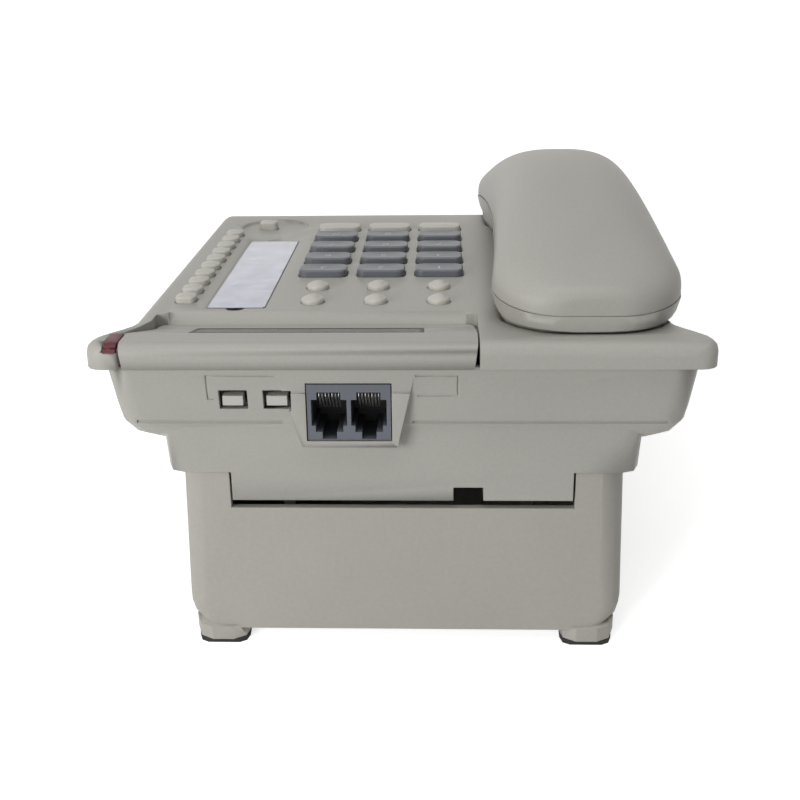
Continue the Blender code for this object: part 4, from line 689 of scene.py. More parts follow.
@dataclass(frozen=True)
class Paper(Finish):
    """Card stock with fibres, uneven toning and a slight sheen."""

    fibre_size: float = 0.0003
    fibre_depth: float = 0.00001
    fibre_squeeze: float = 0.2
    toning_size: float = 0.03
    tone: float = 0.03
    sheen: float = 0.15

    def inputs(self, sheet: NodeSheet, place: Socket) -> dict:
        """Fibres, toning and sheen.

        Args:
            sheet: the material's tree.
            place: object coordinates.

        Returns:
            Inputs of the shader.
        """
        fibre = sheet.noise(sheet.stretched(place, self.fibre_squeeze), self.fibre_size, 5.0)
        toning = sheet.noise(place, self.toning_size, 3.0)
        fine, broad = (sheet.spread(noise, 1 - self.tone, 1 + self.tone) for noise in (fibre, toning))
        return {
            "Base Color": self.shade(sheet, sheet.maths("MULTIPLY", fine, broad)),
            "Normal": sheet.bump(fibre, self.fibre_depth),
            "Sheen Weight": self.sheen,
        }


def make_finishes(deck: DeckFrame) -> dict[str, Material]:
    """Makes every finish of the telephone once.

    Args:
        deck: the deck's frame, which places what depends on depth.

    Returns:
        The materials, under the record's slot name where a slot has only one of them.
    """
    crisp, fine = {"edge": Edge.CRISP}, {"grain": 0.0003, "edge": Edge.CRISP}
    printed = {"grain": 0.0002, "edge": Edge.NONE}
    outwards = deck.matrix.to_3x3() @ Vector((0.0, 1.0, 0.0))
    face = (deck.matrix @ Vector((0.0, deck.extent("line_jack_block").high.y, 0.0))).dot(outwards)
    bore = {"outwards": tuple(outwards), "face": face}
    slate, grey = (100, 103, 108), (100, 104, 111)
    board = {"grain": 0.0012, "fleck": 0.35, "edge": Edge.NONE, "coat": 0.4}
    finishes = {
        "casing": Moulding("warm_grey_casing", (171, 169, 162), 0.52),
        "stand": Moulding("warm_grey_stand", (171, 168, 160), 0.56, grain=0.0008),
        "light_keys": Moulding("light_key_plastic", (191, 188, 180), 0.42, fleck=0.015, **crisp),
        # dial keys: strongly lightened edges, mostly a painted highlight on their top edges
        "dial_keys": Moulding("slate_key_plastic", slate, 0.40, fleck=0.02, edge_light=0.3, **crisp),
        "knob": Moulding("light_knob_plastic", (190, 188, 182), 0.4, **crisp),
        "print_ink": Moulding("white_print", (172, 174, 178), 0.5, **printed),
        "line_ink": Moulding("grey_ruling", (140, 144, 165), 0.6, **printed),
        "rubber": Moulding("black_rubber", (52, 51, 50), 0.8, grain=0.0003, fleck=0.12, edge_light=0.25),
        "keypad_rubber": Moulding("grey_rubber", (120, 120, 118), 0.75, grain=0.0004),
        "jack_plastic": Moulding("jack_plastic", grey, 0.45, **fine),
        # the line jack block carries painted shade in its bores
        "line_jack": ShadedBore("line_jack_plastic", grey, 0.45, **fine, **bore),
        "insert": Moulding("black_insert_plastic", (24, 25, 29), 0.45, **fine),
        "switch_black": Moulding("black_switch_plastic", (38, 37, 36), 0.5, **crisp),
        "capsule": Moulding("capsule_plastic", (48, 48, 50), 0.6, **crisp),
        "board": Moulding("solder_mask", (38, 92, 58), 0.35, **board),
        "module": Moulding("grey_green_glass", (136, 142, 126), 0.25, mottle=0.02, coat=0.9, **crisp),
        "lcd_cell": Moulding("display_cell", (116, 122, 108), 0.3, coat=0.9, **printed),
        "steel": Metal("pressed_steel", (150, 150, 152), 0.38),
        "screw": Metal("zinc_screw", (168, 168, 165), 0.30),
        "contact": Metal("nickel_contact", (206, 204, 196), 0.34, marks=0.0002),
        "window": Clear("smoked_window", (96, 98, 98), 0.10, 0.8),
        "clear_cover": Clear("clear_card_cover", (244, 245, 250), 0.07),
        "lamp": Clear("red_lamp_lens", (84, 6, 24), 0.45, 0.1),
        "card": Paper("index_card_paper", (160, 163, 178), 0.6),
    }
    return {key: finish.build() for key, finish in finishes.items()}


@dataclass
class Lamp:
    """A square soft light."""

    name: str
    place: Vector
    size: float
    power: float


@dataclass
class Studio:
    """Pale floor, soft lamps and the camera at the photograph's view."""

    camera_place: Triple = (-0.0123, 0.3421, 0.2884)
    camera_pitch: float = math.radians(38.84)
    camera_yaw: float = math.atan(43 / 1156)
    lens: float = 52.02
    sensor: float = 36.0
    nearest: float = 0.01
    floor_half: float = 4.0
    floor_level: float = 0.80
    floor_roughness: float = 0.9
    floor_specular: float = 0.1
    floor_glow: float = 0.66
    covered_half: Pair = (0.060, 0.088)
    covered_edge: float = 0.008
    glow_distances: Pair = (0.25, 1.3)
    ambient: float = 0.20
    aim: Triple = (0.0, 0.0, 0.06)
    lamps: Sequence[Lamp] = (
        Lamp("window_lamp", Vector((0.52, 0.60, 0.42)), 0.36, 3.9),
        Lamp("top_lamp", Vector((0.05, -0.10, 1.25)), 1.1, 6.6),
    )

    def build(self) -> None:
        """Makes the floor, the light and the camera."""
        self.make_floor()
        self.make_world()
        for lamp in self.lamps:
            self.make_lamp(lamp)
        self.make_camera()
        bpy.context.scene.view_settings.view_transform = "Standard"

    def seen_directly(self, sheet: NodeSheet) -> Socket:
        """1 where a ray comes from the camera, a mirror or through glass, 0 where it lights something.

        Args:
            sheet: tree of the floor or the world.

        Returns:
            Socket of that number.
        """
        path = sheet.node("ShaderNodeLightPath").outputs
        first = sheet.maths("MAXIMUM", path["Is Camera Ray"], path["Is Glossy Ray"])
        return sheet.maths("MAXIMUM", first, path["Is Transmission Ray"])

    def make_floor(self) -> None:
        """A pale floor that shows white and keeps the telephone's shadow."""
        mesh = bpy.data.meshes.new("pale_floor")
        signs = ((-1, -1), (1, -1), (1, 1), (-1, 1))
        corners = [(x * self.floor_half, y * self.floor_half, 0.0) for x, y in signs]
        mesh.from_pydata(corners, [], [(0, 1, 2, 3)])
        material, sheet, shader = new_material("pale_floor")
        inputs = {
            "Base Color": (self.floor_level, self.floor_level, self.floor_level, 1.0),
            "Roughness": self.floor_roughness,
            "Specular IOR Level": self.floor_specular,
            "Emission Color": WHITE,
            "Emission Strength": sheet.maths("MULTIPLY", self.seen_directly(sheet), self.open_floor(sheet)),
        }
        sheet.feed(shader, inputs)
        mesh.materials.append(material)
        new_object("pale_floor", mesh)

    def open_floor(self, sheet: NodeSheet) -> Socket:
        """The floor's glow, which fades out where the telephone stands on it.

        Args:
            sheet: the floor's tree.

        Returns:
            Socket of its strength.
        """
        parts = sheet.node("ShaderNodeSeparateXYZ", {0: sheet.place()}).outputs
        beyond = [
            sheet.maths("SUBTRACT", sheet.maths("ABSOLUTE", parts[axis]), half)
            for axis, half in enumerate(self.covered_half)
        ]
        furthest = sheet.maths("MAXIMUM", *beyond)
        near = sheet.ranged(furthest, (-self.covered_edge, 0.0), (0.0, self.floor_glow))
        far = sheet.ranged(furthest, self.glow_distances, (0.0, 1.0 - self.floor_glow))
        return sheet.maths("ADD", near, far)

    def make_world(self) -> None:
        """White where it is seen, and a plain soft level where it lights."""
        world = bpy.data.worlds.new("studio")
        world.use_nodes = True
        bpy.context.scene.world = world
        sheet = NodeSheet(world.node_tree)
        lit = sheet.feed(world.node_tree.nodes["Background"], {"Color": WHITE, "Strength": self.ambient})
        white = sheet.node("ShaderNodeBackground", {"Color": WHITE, "Strength": 1.0})
        inputs = {0: self.seen_directly(sheet), 1: lit.outputs[0], 2: white.outputs[0]}
        mix = sheet.node("ShaderNodeMixShader", inputs)
        sheet.feed(world.node_tree.nodes["World Output"], {0: mix.outputs[0]})

    def make_lamp(self, lamp: Lamp) -> None:
        """One soft square lamp aimed at the telephone.

        Args:
            lamp: its name, place, size and power.
        """
        light = bpy.data.lights.new(lamp.name, "AREA")
        light.energy = lamp.power
        light.size = lamp.size
        body = new_object(lamp.name, light)
        aim = (Vector(self.aim) - lamp.place).to_track_quat("-Z", "Y")
        body.matrix_world = Matrix.Translation(lamp.place) @ aim.to_matrix().to_4x4()
        body.visible_camera = False

    def make_camera(self) -> None:
        """The camera behind the telephone, looking down on it."""
        data = bpy.data.cameras.new("photo_camera")
        data.lens = self.lens
        data.sensor_width = self.sensor
        data.clip_start = self.nearest
        pitch, yaw = self.camera_pitch, self.camera_yaw
        ahead = Vector((0.0, -math.cos(pitch), -math.sin(pitch)))
        up = Vector((0.0, -math.sin(pitch), math.cos(pitch)))
        side = Vector((-1.0, 0.0, 0.0))
        look = ahead * math.cos(yaw) - side * math.sin(yaw)
        right = side * math.cos(yaw) + ahead * math.sin(yaw)
        camera = new_object("photo_camera", data)
        axes = Matrix((right, up, -look)).transposed()
        camera.matrix_world = Matrix.Translation(self.camera_place) @ axes.to_4x4()
        bpy.context.scene.camera = camera


@dataclass
class Assembly:
    """A group of pieces of the telephone."""

    deck: DeckFrame
    finishes: dict[str, Material]

    def copy(self, node: str) -> Object:
        """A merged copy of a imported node, under a name of its own.

        Args:
            node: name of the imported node.

        Returns:
            The copy, whose mesh has no doubles.
        """
        mesh = frame["nodes"][node].data.copy()
        mesh.materials.clear()
        bm = bmesh.new()
        bm.from_mesh(mesh)
        bmesh.ops.remove_doubles(bm, verts=bm.verts, dist=MERGE_DISTANCE)
        bm.to_mesh(mesh)
        bm.free()
        return new_object(f"{node}_skin", mesh)

    def smooth(self, piece: Object, angle: float = SHARP) -> Object:
        """Shades rounded stretches smooth and leaves flat faces flat.

        Args:
            piece: object with a merged mesh.
            angle: bend in degrees past which an edge stays sharp.

        Returns:
            The same object.
        """
        piece.data.shade_smooth()
        piece.data.set_sharp_from_angle(angle=math.radians(angle))
        modifier = piece.modifiers.new("even_shading", "WEIGHTED_NORMAL")
        modifier.keep_sharp = True
        modifier.weight = 80
        return settle(piece)

    def fit(self, piece: Object, node: str, slot: str, finish: str = "") -> Object:
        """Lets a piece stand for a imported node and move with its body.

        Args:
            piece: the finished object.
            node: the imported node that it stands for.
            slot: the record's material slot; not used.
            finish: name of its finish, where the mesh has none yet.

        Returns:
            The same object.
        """
        if finish:
            piece.data.materials.clear()
            piece.data.materials.append(self.finishes[finish])
        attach(piece, BODY_OF[node])
        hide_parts(node)
        log.info("%s stands for %s", piece.name, node)
        return piece

    def add(self, piece: Object, carrier: str, slot: str) -> Object:
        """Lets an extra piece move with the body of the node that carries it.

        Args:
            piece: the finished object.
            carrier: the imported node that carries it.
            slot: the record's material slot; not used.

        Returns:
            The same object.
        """
        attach(piece, BODY_OF[carrier])
        log.info("%s rides with %s", piece.name, carrier)
        return piece

    def dress(self, node: str, slot: str, finish: str = "", angle: float = SHARP) -> Object:
        """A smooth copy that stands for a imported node, in the slot's finish or another one."""
        return self.fit(self.smooth(self.copy(node), angle), node, slot, finish or slot)

    def drill(self, piece: Object, cutter: Object) -> Object:
        """Cuts holes into a piece and deletes the cutter.

        Args:
            piece: the object that is cut.
            cutter: the closed shape that is taken away.

        Returns:
            The cut object.
        """
        modifier = piece.modifiers.new("holes", "BOOLEAN")
        modifier.operation = "DIFFERENCE"
        modifier.solver = "EXACT"
        modifier.object = cutter
        settle(piece)
        bpy.data.objects.remove(cutter, do_unlink=True)
        return piece

    def place(self, piece: Object, centre: Sequence[float] = (0.0, 0.0, 0.0)) -> Object:
        """Moves a mesh to the world from the deck's frame, where its origin is at the centre.

        Args:
            piece: object whose mesh is moved.
            centre: the place of its origin in the deck's frame.

        Returns:
            The same object.
        """
        piece.data.transform(self.deck.matrix @ Matrix.Translation(centre))
        piece.data.update()
        return piece


@dataclass
class Casing(Assembly):
    """Deck, lower case, stand, pads and what lies inside."""

    screw_places: tuple[Pair, ...] = ((-0.060, -0.130), (0.060, -0.130), (-0.022, -0.168), (0.022, -0.168))
    screw_hole_radius: float = 0.0032
    screw_hole_depth: float = 0.0013
    screw_head_radius: float = 0.0025
    screw_head_height: float = 0.0007
    cross_length: float = 1.1
    cross_width: float = 0.26
    cross_level: float = -0.95
    pad_margin: float = 0.0028
    ledge_groove: float = 0.00055
    panel_groove: float = 0.00034
    groove_step: float = 0.0025
    ledge_half: float = 0.0775
    ledge_z: float = -0.0255
    ledge_gap: Pair = (-0.0035, 0.0345)
    panel_right: tuple[Pair, ...] = (
        (-0.0050, -0.0168), (-0.0166, -0.0168), (-0.0166, -0.0104), (-0.0044, -0.0104)
    )
    panel_left: tuple[Pair, ...] = (
        (0.0357, -0.0104), (0.0556, -0.0104), (0.0556, -0.0178), (0.0540, -0.0178)
    )
    case_bend: float = 27.0
    stand_bend: float = 25.0

    def build(self) -> None:
        """Dresses the casing."""
        self.dress("top_cover", "casing")
        self.make_lower_case()
        self.dress("desk_stand", "casing", "stand", self.stand_bend)
        for side in ("left", "right"):
            self.make_rear_pad(f"rear_foot_{side}")
            self.dress(f"front_foot_{side}", "rubber")
        self.dress("main_board", "board")
        self.dress("keypad_sheet", "keypad_rubber")
        self.dress("loudspeaker", "steel")
        self.dress("base_cord_jack", "jack_plastic")

    def make_rear_pad(self, node: str) -> None:
        """A rear pad that fills the boss over it, so that it shows as a dark sole.

        Args:
            node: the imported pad.
        """
        pad = self.copy(node)
        low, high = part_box(node)
        centre = (low + high) / 2
        centre.z = low.z
        size = high - low
        spread = Vector((1 + 2 * self.pad_margin / size.x, 1 + 2 * self.pad_margin / size.y, 1.0))
        grow = Matrix.Translation(centre) @ Matrix.Diagonal(spread.to_4d()) @ Matrix.Translation(-centre)
        pad.data.transform(grow)
        self.fit(self.smooth(pad), node, "rubber", "rubber")

    def make_lower_case(self) -> None:
        """Lower case with grooves in its rear wall and four screws in drilled recesses under it."""
        floor = self.deck.extent("front_foot_left").high.z + GAP
        seat = floor + self.screw_hole_depth
        radius, depth = self.screw_hole_radius, 2 * self.screw_hole_depth
        tree = GeometryTree("screw_recesses", True, radius=radius, depth=depth)
        bore = tree.cylinder(24, tree["radius"], tree["depth"])
        tree.close(tree.on_points(tree["Geometry"], bore))
        casing = self.finishes["casing"]
        holes, seats = (
            point_mesh(name, [(x, y, height) for x, y in self.screw_places])
            for name, height in (("screw_recesses", floor), ("case_screws", seat))
        )
        cutter = self.place(tree.make("screw_recesses", casing, holes))
        case = self.copy("lower_case")
        grooves = self.groove_cutters(case.data)
        for tool in (cutter, *grooves):
            self.drill(case, tool)
        self.fit(self.smooth(case, self.case_bend), "lower_case", "casing", "casing")
        heads = self.screw_tree().make("case_screws", self.finishes["screw"], seats)
        self.add(self.smooth(self.place(heads)), "lower_case", "steel")

    def groove_cutters(self, case: Mesh) -> list[Object]:
        """Round cutters along the rear wall's ledge line and round its switch panel.

        Args:
            case: the lower case's mesh in the world.

        Returns:
            One cutter for each groove.
        """
        points = [self.deck.inverse @ vertex.co for vertex in case.vertices]
        wall = BVHTree.FromPolygons(points, [face.vertices[:] for face in case.polygons])
        left, right = self.ledge_gap
        half, level = self.ledge_half, self.ledge_z
        routes = (
            ("ledge_right", self.ledge_groove, ((-half, level), (left, level))),
            ("ledge_left", self.ledge_groove, ((right, level), (half, level))),
            ("panel_right", self.panel_groove, self.panel_right),
            ("panel_left", self.panel_groove, self.panel_left),
        )
        tree = GeometryTree("wall_groove", True, radius=self.ledge_groove)
        tree.close(tree.tube(tree.route(), tree["radius"], 8))
        casing = self.finishes["casing"]
        return [
            self.place(tree.make(name, casing, self.wall_path(wall, name, route), radius=radius))
            for name, radius, route in routes
        ]

    def wall_path(self, wall: BVHTree, name: str, corners: Sequence[Pair]) -> Mesh:
        """A path of short edges that lies on the rear wall.

        Args:
            wall: the lower case in the deck's frame.
            name: name of the path.
            corners: (x, z) of its corners.

        Returns:
            A mesh of edges.
        """
        route = []
        for (x0, z0), (x1, z1) in zip(corners, corners[1:]):
            steps = max(round(math.hypot(x1 - x0, z1 - z0) / self.groove_step), 1)
            route += [(x0 + (x1 - x0) * k / steps, z0 + (z1 - z0) * k / steps) for k in range(steps)]
        route.append(corners[-1])
        behind, ahead = 0.05, Vector((0.0, -1.0, 0.0))
        hits = [wall.ray_cast(Vector((x, behind, z)), ahead)[0] for x, z in route]
        return point_mesh(name, [hit for hit in hits if hit is not None], True)

    def screw_tree(self) -> GeometryTree:
        """Tree of domed, cross-recessed screw heads that face down.

        Returns:
            The tree.
        """
        sizes = {"radius": self.screw_head_radius, "height": self.screw_head_height}
        tree = GeometryTree("cross_head_screws", True, **sizes)
        radius, height = tree["radius"], tree["height"]
        ball = tree.node("GeometryNodeMeshUVSphere", {"Segments": 32, "Rings": 16, "Radius": 1.0})
        head = tree.moved(ball.outputs["Mesh"], tree.vector(radius, radius, height), "Scale")
        long, short = (tree.maths("MULTIPLY", radius, k) for k in (self.cross_length, self.cross_width))
        cross = tree.joined(tree.bar(long, short, height), tree.bar(short, long, height))
        down = tree.vector(0.0, 0.0, tree.maths("MULTIPLY", height, self.cross_level))
        inputs = {"Mesh 1": head, "Mesh 2": tree.moved(cross, down), "Self Intersection": True}
        cut = tree.node("GeometryNodeMeshBoolean", inputs, operation="DIFFERENCE", solver="EXACT")
        return tree.close(tree.on_points(tree["Geometry"], cut.outputs["Mesh"]))


class Top(Enum):
    """How deep the top of a key is dished; a crowned key has a negative depth."""

    DISHED = 0.00028
    CROWNED = -0.00025
    PILLOWED = -0.0005
    DOMED = -0.0010


class Symbol(Enum):
    """What is printed on the two dial keys that carry no digit."""

    STAR = "*"
    HASH = "#"


@dataclass(frozen=True)
class KeyStyle:
    """One family of keys."""

    prefix: str
    corner: float
    top: Top
    edge: float
    slot: str = "light_keys"


@dataclass
class KeyField(Assembly):
    """Every push key, with the printed digits of the dial keys, and the index card."""

    styles: tuple[KeyStyle, ...] = (
        KeyStyle("dial_key", 0.0020, Top.DISHED, 0.0007, "dial_keys"),
        KeyStyle("wide_key", 0.0020, Top.CROWNED, 0.0007),
        KeyStyle("round_key", 0.0036, Top.DOMED, 0.0009),
        KeyStyle("one_touch_key", 0.0012, Top.PILLOWED, 0.0006),
        KeyStyle("speaker_button", 0.0012, Top.CROWNED, 0.0006),
    )
    flange: float = 0.00125
    flange_height: float = 0.0010
    corner_steps: int = 8
    edge_steps: int = 4
    top_rings: tuple[float, ...] = (1.0, 0.85, 0.65, 0.42, 0.2)
    key_bend: float = 50.0
    digit_height: float = 0.0052
    digit_thickness: float = 0.00002
    card_lines: int = 11
    card_line_width: float = 0.00014
    card_margin: float = 0.0012
    card_bend: float = 12.0

    def build(self) -> None:
        """Makes the keys and the card."""
        tree = self.key_tree()
        for node in sorted(frame["nodes"]):
            for style in self.styles:
                if node.startswith(style.prefix):
                    self.make_key(tree, node, style)
        self.make_card()

    def key_tree(self) -> GeometryTree:
        """Tree of one key: a flange, straight walls, a rounded edge and a dished or crowned top.

        Returns:
            The tree.
        """
        names = ("width", "depth", "corner", "flange", "flange_height", "foot", "rim", "edge", "dish")
        tree = GeometryTree("key_cap", **dict.fromkeys(names, 0.0))
        cap = (tree["width"], tree["depth"])
        size = tuple(tree.maths("ADD", side, tree.maths("MULTIPLY", tree["flange"], 2.0)) for side in cap)
        inputs = {"Width": size[0], "Height": size[1]}
        outline = tree.node("GeometryNodeCurvePrimitiveQuadrilateral", inputs).outputs[0]
        radius = tree.maths("ADD", tree["corner"], tree["flange"])
        rounded = tree.filleted(outline, radius, self.corner_steps)
        sheet = tree.node("GeometryNodeFillCurve", {"Curve": rounded}, mode="NGONS").outputs[0]
        base = solid = tree.moved(sheet, tree.vector(0.0, 0.0, tree["foot"]))
        below = tree.node("GeometryNodeFlipFaces", {"Mesh": base}).outputs[0]
        place = tree.node("GeometryNodeInputPosition").outputs[0]
        top = True
        for next_size, rise in self.key_steps(tree, size, cap):
            ratio = [tree.maths("DIVIDE", new, old) for new, old in zip(next_size, size)]
            inputs = {"Mesh": solid, "Selection": top, "Offset Scale": 1.0, "Individual": False}
            inputs["Offset"] = tree.vector(0.0, 0.0, rise)
            drawn = tree.node("GeometryNodeExtrudeMesh", inputs, mode="FACES").outputs
            top = drawn["Top"]
            inputs = {0: place, 1: tree.vector(*ratio, 1.0)}
            narrowed = tree.node("ShaderNodeVectorMath", inputs, operation="MULTIPLY").outputs[0]
            inputs = {"Geometry": drawn["Mesh"], "Selection": top, "Position": narrowed}
            solid = tree.node("GeometryNodeSetPosition", inputs).outputs[0]
            size = next_size
        inputs = {"Geometry": tree.joined(solid, below), "Distance": MERGE_DISTANCE}
        return tree.close(tree.node("GeometryNodeMergeByDistance", inputs).outputs[0])

    def key_steps(
        self, tree: GeometryTree, plate: tuple[Socket, ...], cap: tuple[Socket, ...]
    ) -> list[tuple[tuple[Socket, ...], Socket | float]]:
        """Plan size and rise of each ring of a key, from its flange to the middle of its top.

        Args:
            tree: the key's tree.
            plate: width and depth of the flange.
            cap: width and depth of the cap.

        Returns:
            One pair for each extrusion.
        """
        edge, thickness = tree["edge"], tree["flange_height"]
        shoulder = tree.maths("SUBTRACT", tree["rim"], edge)
        wall = tree.maths("SUBTRACT", shoulder, tree.maths("ADD", tree["foot"], thickness))
        steps = [(plate, thickness), (cap, 0.0), (cap, wall)]
        angles = [math.radians(90) * k / self.edge_steps for k in range(self.edge_steps + 1)]
        for before, after in zip(angles, angles[1:]):
            inset = tree.maths("MULTIPLY", edge, 2 * (1 - math.cos(after)))
            size = tuple(tree.maths("SUBTRACT", side, inset) for side in cap)
            steps.append((size, tree.maths("MULTIPLY", edge, math.sin(after) - math.sin(before))))
        last = steps[-1][0]
        for before, after in zip(self.top_rings, self.top_rings[1:]):
            size = tuple(tree.maths("MULTIPLY", side, after) for side in last)
            steps.append((size, tree.maths("MULTIPLY", tree["dish"], after**2 - before**2)))
        return steps

    def make_key(self, tree: GeometryTree, node: str, style: KeyStyle) -> None:
        """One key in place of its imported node, and its digit where it has one.

        Args:
            tree: the key's tree.
            node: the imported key.
            style: the key's family.
        """
        extent = self.deck.extent(node)
        width, depth = (extent.size[axis] - 2 * self.flange for axis in (0, 1))
        dish = style.top.value
        values = {
            "width": width,
            "depth": depth,
            "corner": min(style.corner, depth / 2 - GAP / 10),
            "flange": self.flange,
            "flange_height": self.flange_height,
            "foot": extent.low.z,
            "rim": extent.high.z + min(dish, 0.0),
            "edge": style.edge,
            "dish": dish,
        }
        key = tree.make(f"{node}_cap", self.finishes[style.slot], **values)
        centre = Vector((extent.centre.x, extent.centre.y, 0.0))
        if style.slot == "dial_keys":
            self.print_digit(node, key.data, centre)
        self.fit(self.smooth(self.place(key, centre), self.key_bend), node, style.slot)

    def print_digit(self, node: str, cap: Mesh, centre: Vector) -> None:
        """A dial key's digit, laid on its dished top.

        Args:
            node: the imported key.
            cap: the key's mesh about its own origin.
            centre: the key's place in the deck's frame.
        """
        word = node.rsplit("_", 1)[1]
        curve = bpy.data.curves.new(f"{node}_print", "FONT")
        curve.body = word if word.isdigit() else Symbol[word.upper()].value
        curve.size = self.digit_height
        curve.extrude = self.digit_thickness
        curve.align_x, curve.align_y = "CENTER", "CENTER"
        text = new_object(f"{node}_text", curve)
        graph = bpy.context.evaluated_depsgraph_get()
        mesh = bpy.data.meshes.new_from_object(text.evaluated_get(graph), depsgraph=graph)
        bpy.data.objects.remove(text, do_unlink=True)
        bm = bmesh.new()
        bm.from_mesh(cap)
        top = BVHTree.FromBMesh(bm)
        bm.free()
        ceiling, down = 0.01, Vector((0, 0, -1))
        for vertex in mesh.vertices:
            hit = top.ray_cast(Vector((vertex.co.x, vertex.co.y, ceiling)), down)[0]
            vertex.co.z += hit.z + self.digit_thickness
        mesh.materials.clear()
        mesh.materials.append(self.finishes["print_ink"])
        self.add(self.place(new_object(f"{node}_print", mesh), centre), node, "light_keys")

    def make_card(self) -> None:
        """Ruled index card under its clear cover."""
        self.dress("index_card", "card", angle=self.card_bend)
        self.dress("card_cover", "clear_cover", angle=self.card_bend)
        card = self.deck.extent("index_card")
        width, depth = (card.size[axis] - 2 * self.card_margin for axis in (0, 1))
        pitches = (0.0, depth / (self.card_lines - 1))
        bar = (width, self.card_line_width, 2 * self.digit_thickness)
        lines = bar_grid("card_ruling", self.finishes["line_ink"], (1, self.card_lines), pitches, bar)
        centre = Vector((card.centre.x, card.centre.y, card.high.z + self.digit_thickness))
        self.add(self.place(lines, centre), "index_card", "card")


@dataclass
class Display(Assembly):
    """Tilting display unit and the ringer lamp beside it."""

    cells: tuple[int, int] = (16, 2)
    cell_size: Triple = (0.0029, 0.0036, 0.00004)
    cell_space: float = 0.0009
    border_width: float = 0.0010
    border_lift: float = 0.00002
    border_thickness: float = 0.00003
    window_bend: float = 12.0

    def build(self) -> None:
        """Dresses the display and prints its cells."""
        self.dress("display_housing", "casing")
        self.dress("display_window", "window", angle=self.window_bend)
        self.make_shade_border()
        self.dress("lcd_module", "module")
        self.dress("ringer_lamp_lens", "lamp")
        glass = self.deck.extent("lcd_module")
        width, depth, height = self.cell_size
        pitches = (width + self.cell_space, depth + self.cell_space)
        cells = bar_grid("display_cells", self.finishes["lcd_cell"], self.cells, pitches, self.cell_size)
        centre = Vector((glass.centre.x, glass.centre.y, glass.high.z + height / 4))
        self.add(self.place(cells, centre), "lcd_module", "module")

    def make_shade_border(self) -> None:
        """Painted shade: a black border round the edge of the window's upper face, standing in for the shade at
        the rim of the window's recess.
        """
        border = self.copy("display_window")
        bm = bmesh.new()
        bm.from_mesh(border.data)
        bmesh.ops.dissolve_limit(bm, angle_limit=math.radians(1), verts=bm.verts, edges=bm.edges)
        face = max(bm.faces, key=lambda side: side.normal.z * side.calc_area())
        upwards = face.normal.copy()
        others = [side for side in bm.faces if side is not face]
        bmesh.ops.delete(bm, geom=others, context="FACES")
        inner = list(bm.faces)
        options = {"use_even_offset": True, "use_boundary": True}
        bmesh.ops.inset_region(bm, faces=inner, thickness=self.border_width, **options)
        bmesh.ops.delete(bm, geom=inner, context="FACES")
        bmesh.ops.translate(bm, vec=upwards * self.border_lift, verts=bm.verts)
        bm.to_mesh(border.data)
        bm.free()
        sheet = border.modifiers.new("print", "SOLIDIFY")
        sheet.thickness = self.border_thickness
        sheet.offset = 1.0
        settle(border)
        border.name = "window_shade_border"
        border.data.materials.clear()
        # painted shade: the border is black where the rim of the window's recess lies in shade
        border.data.materials.append(self.finishes["insert"])
        self.add(border, "display_window", "window")


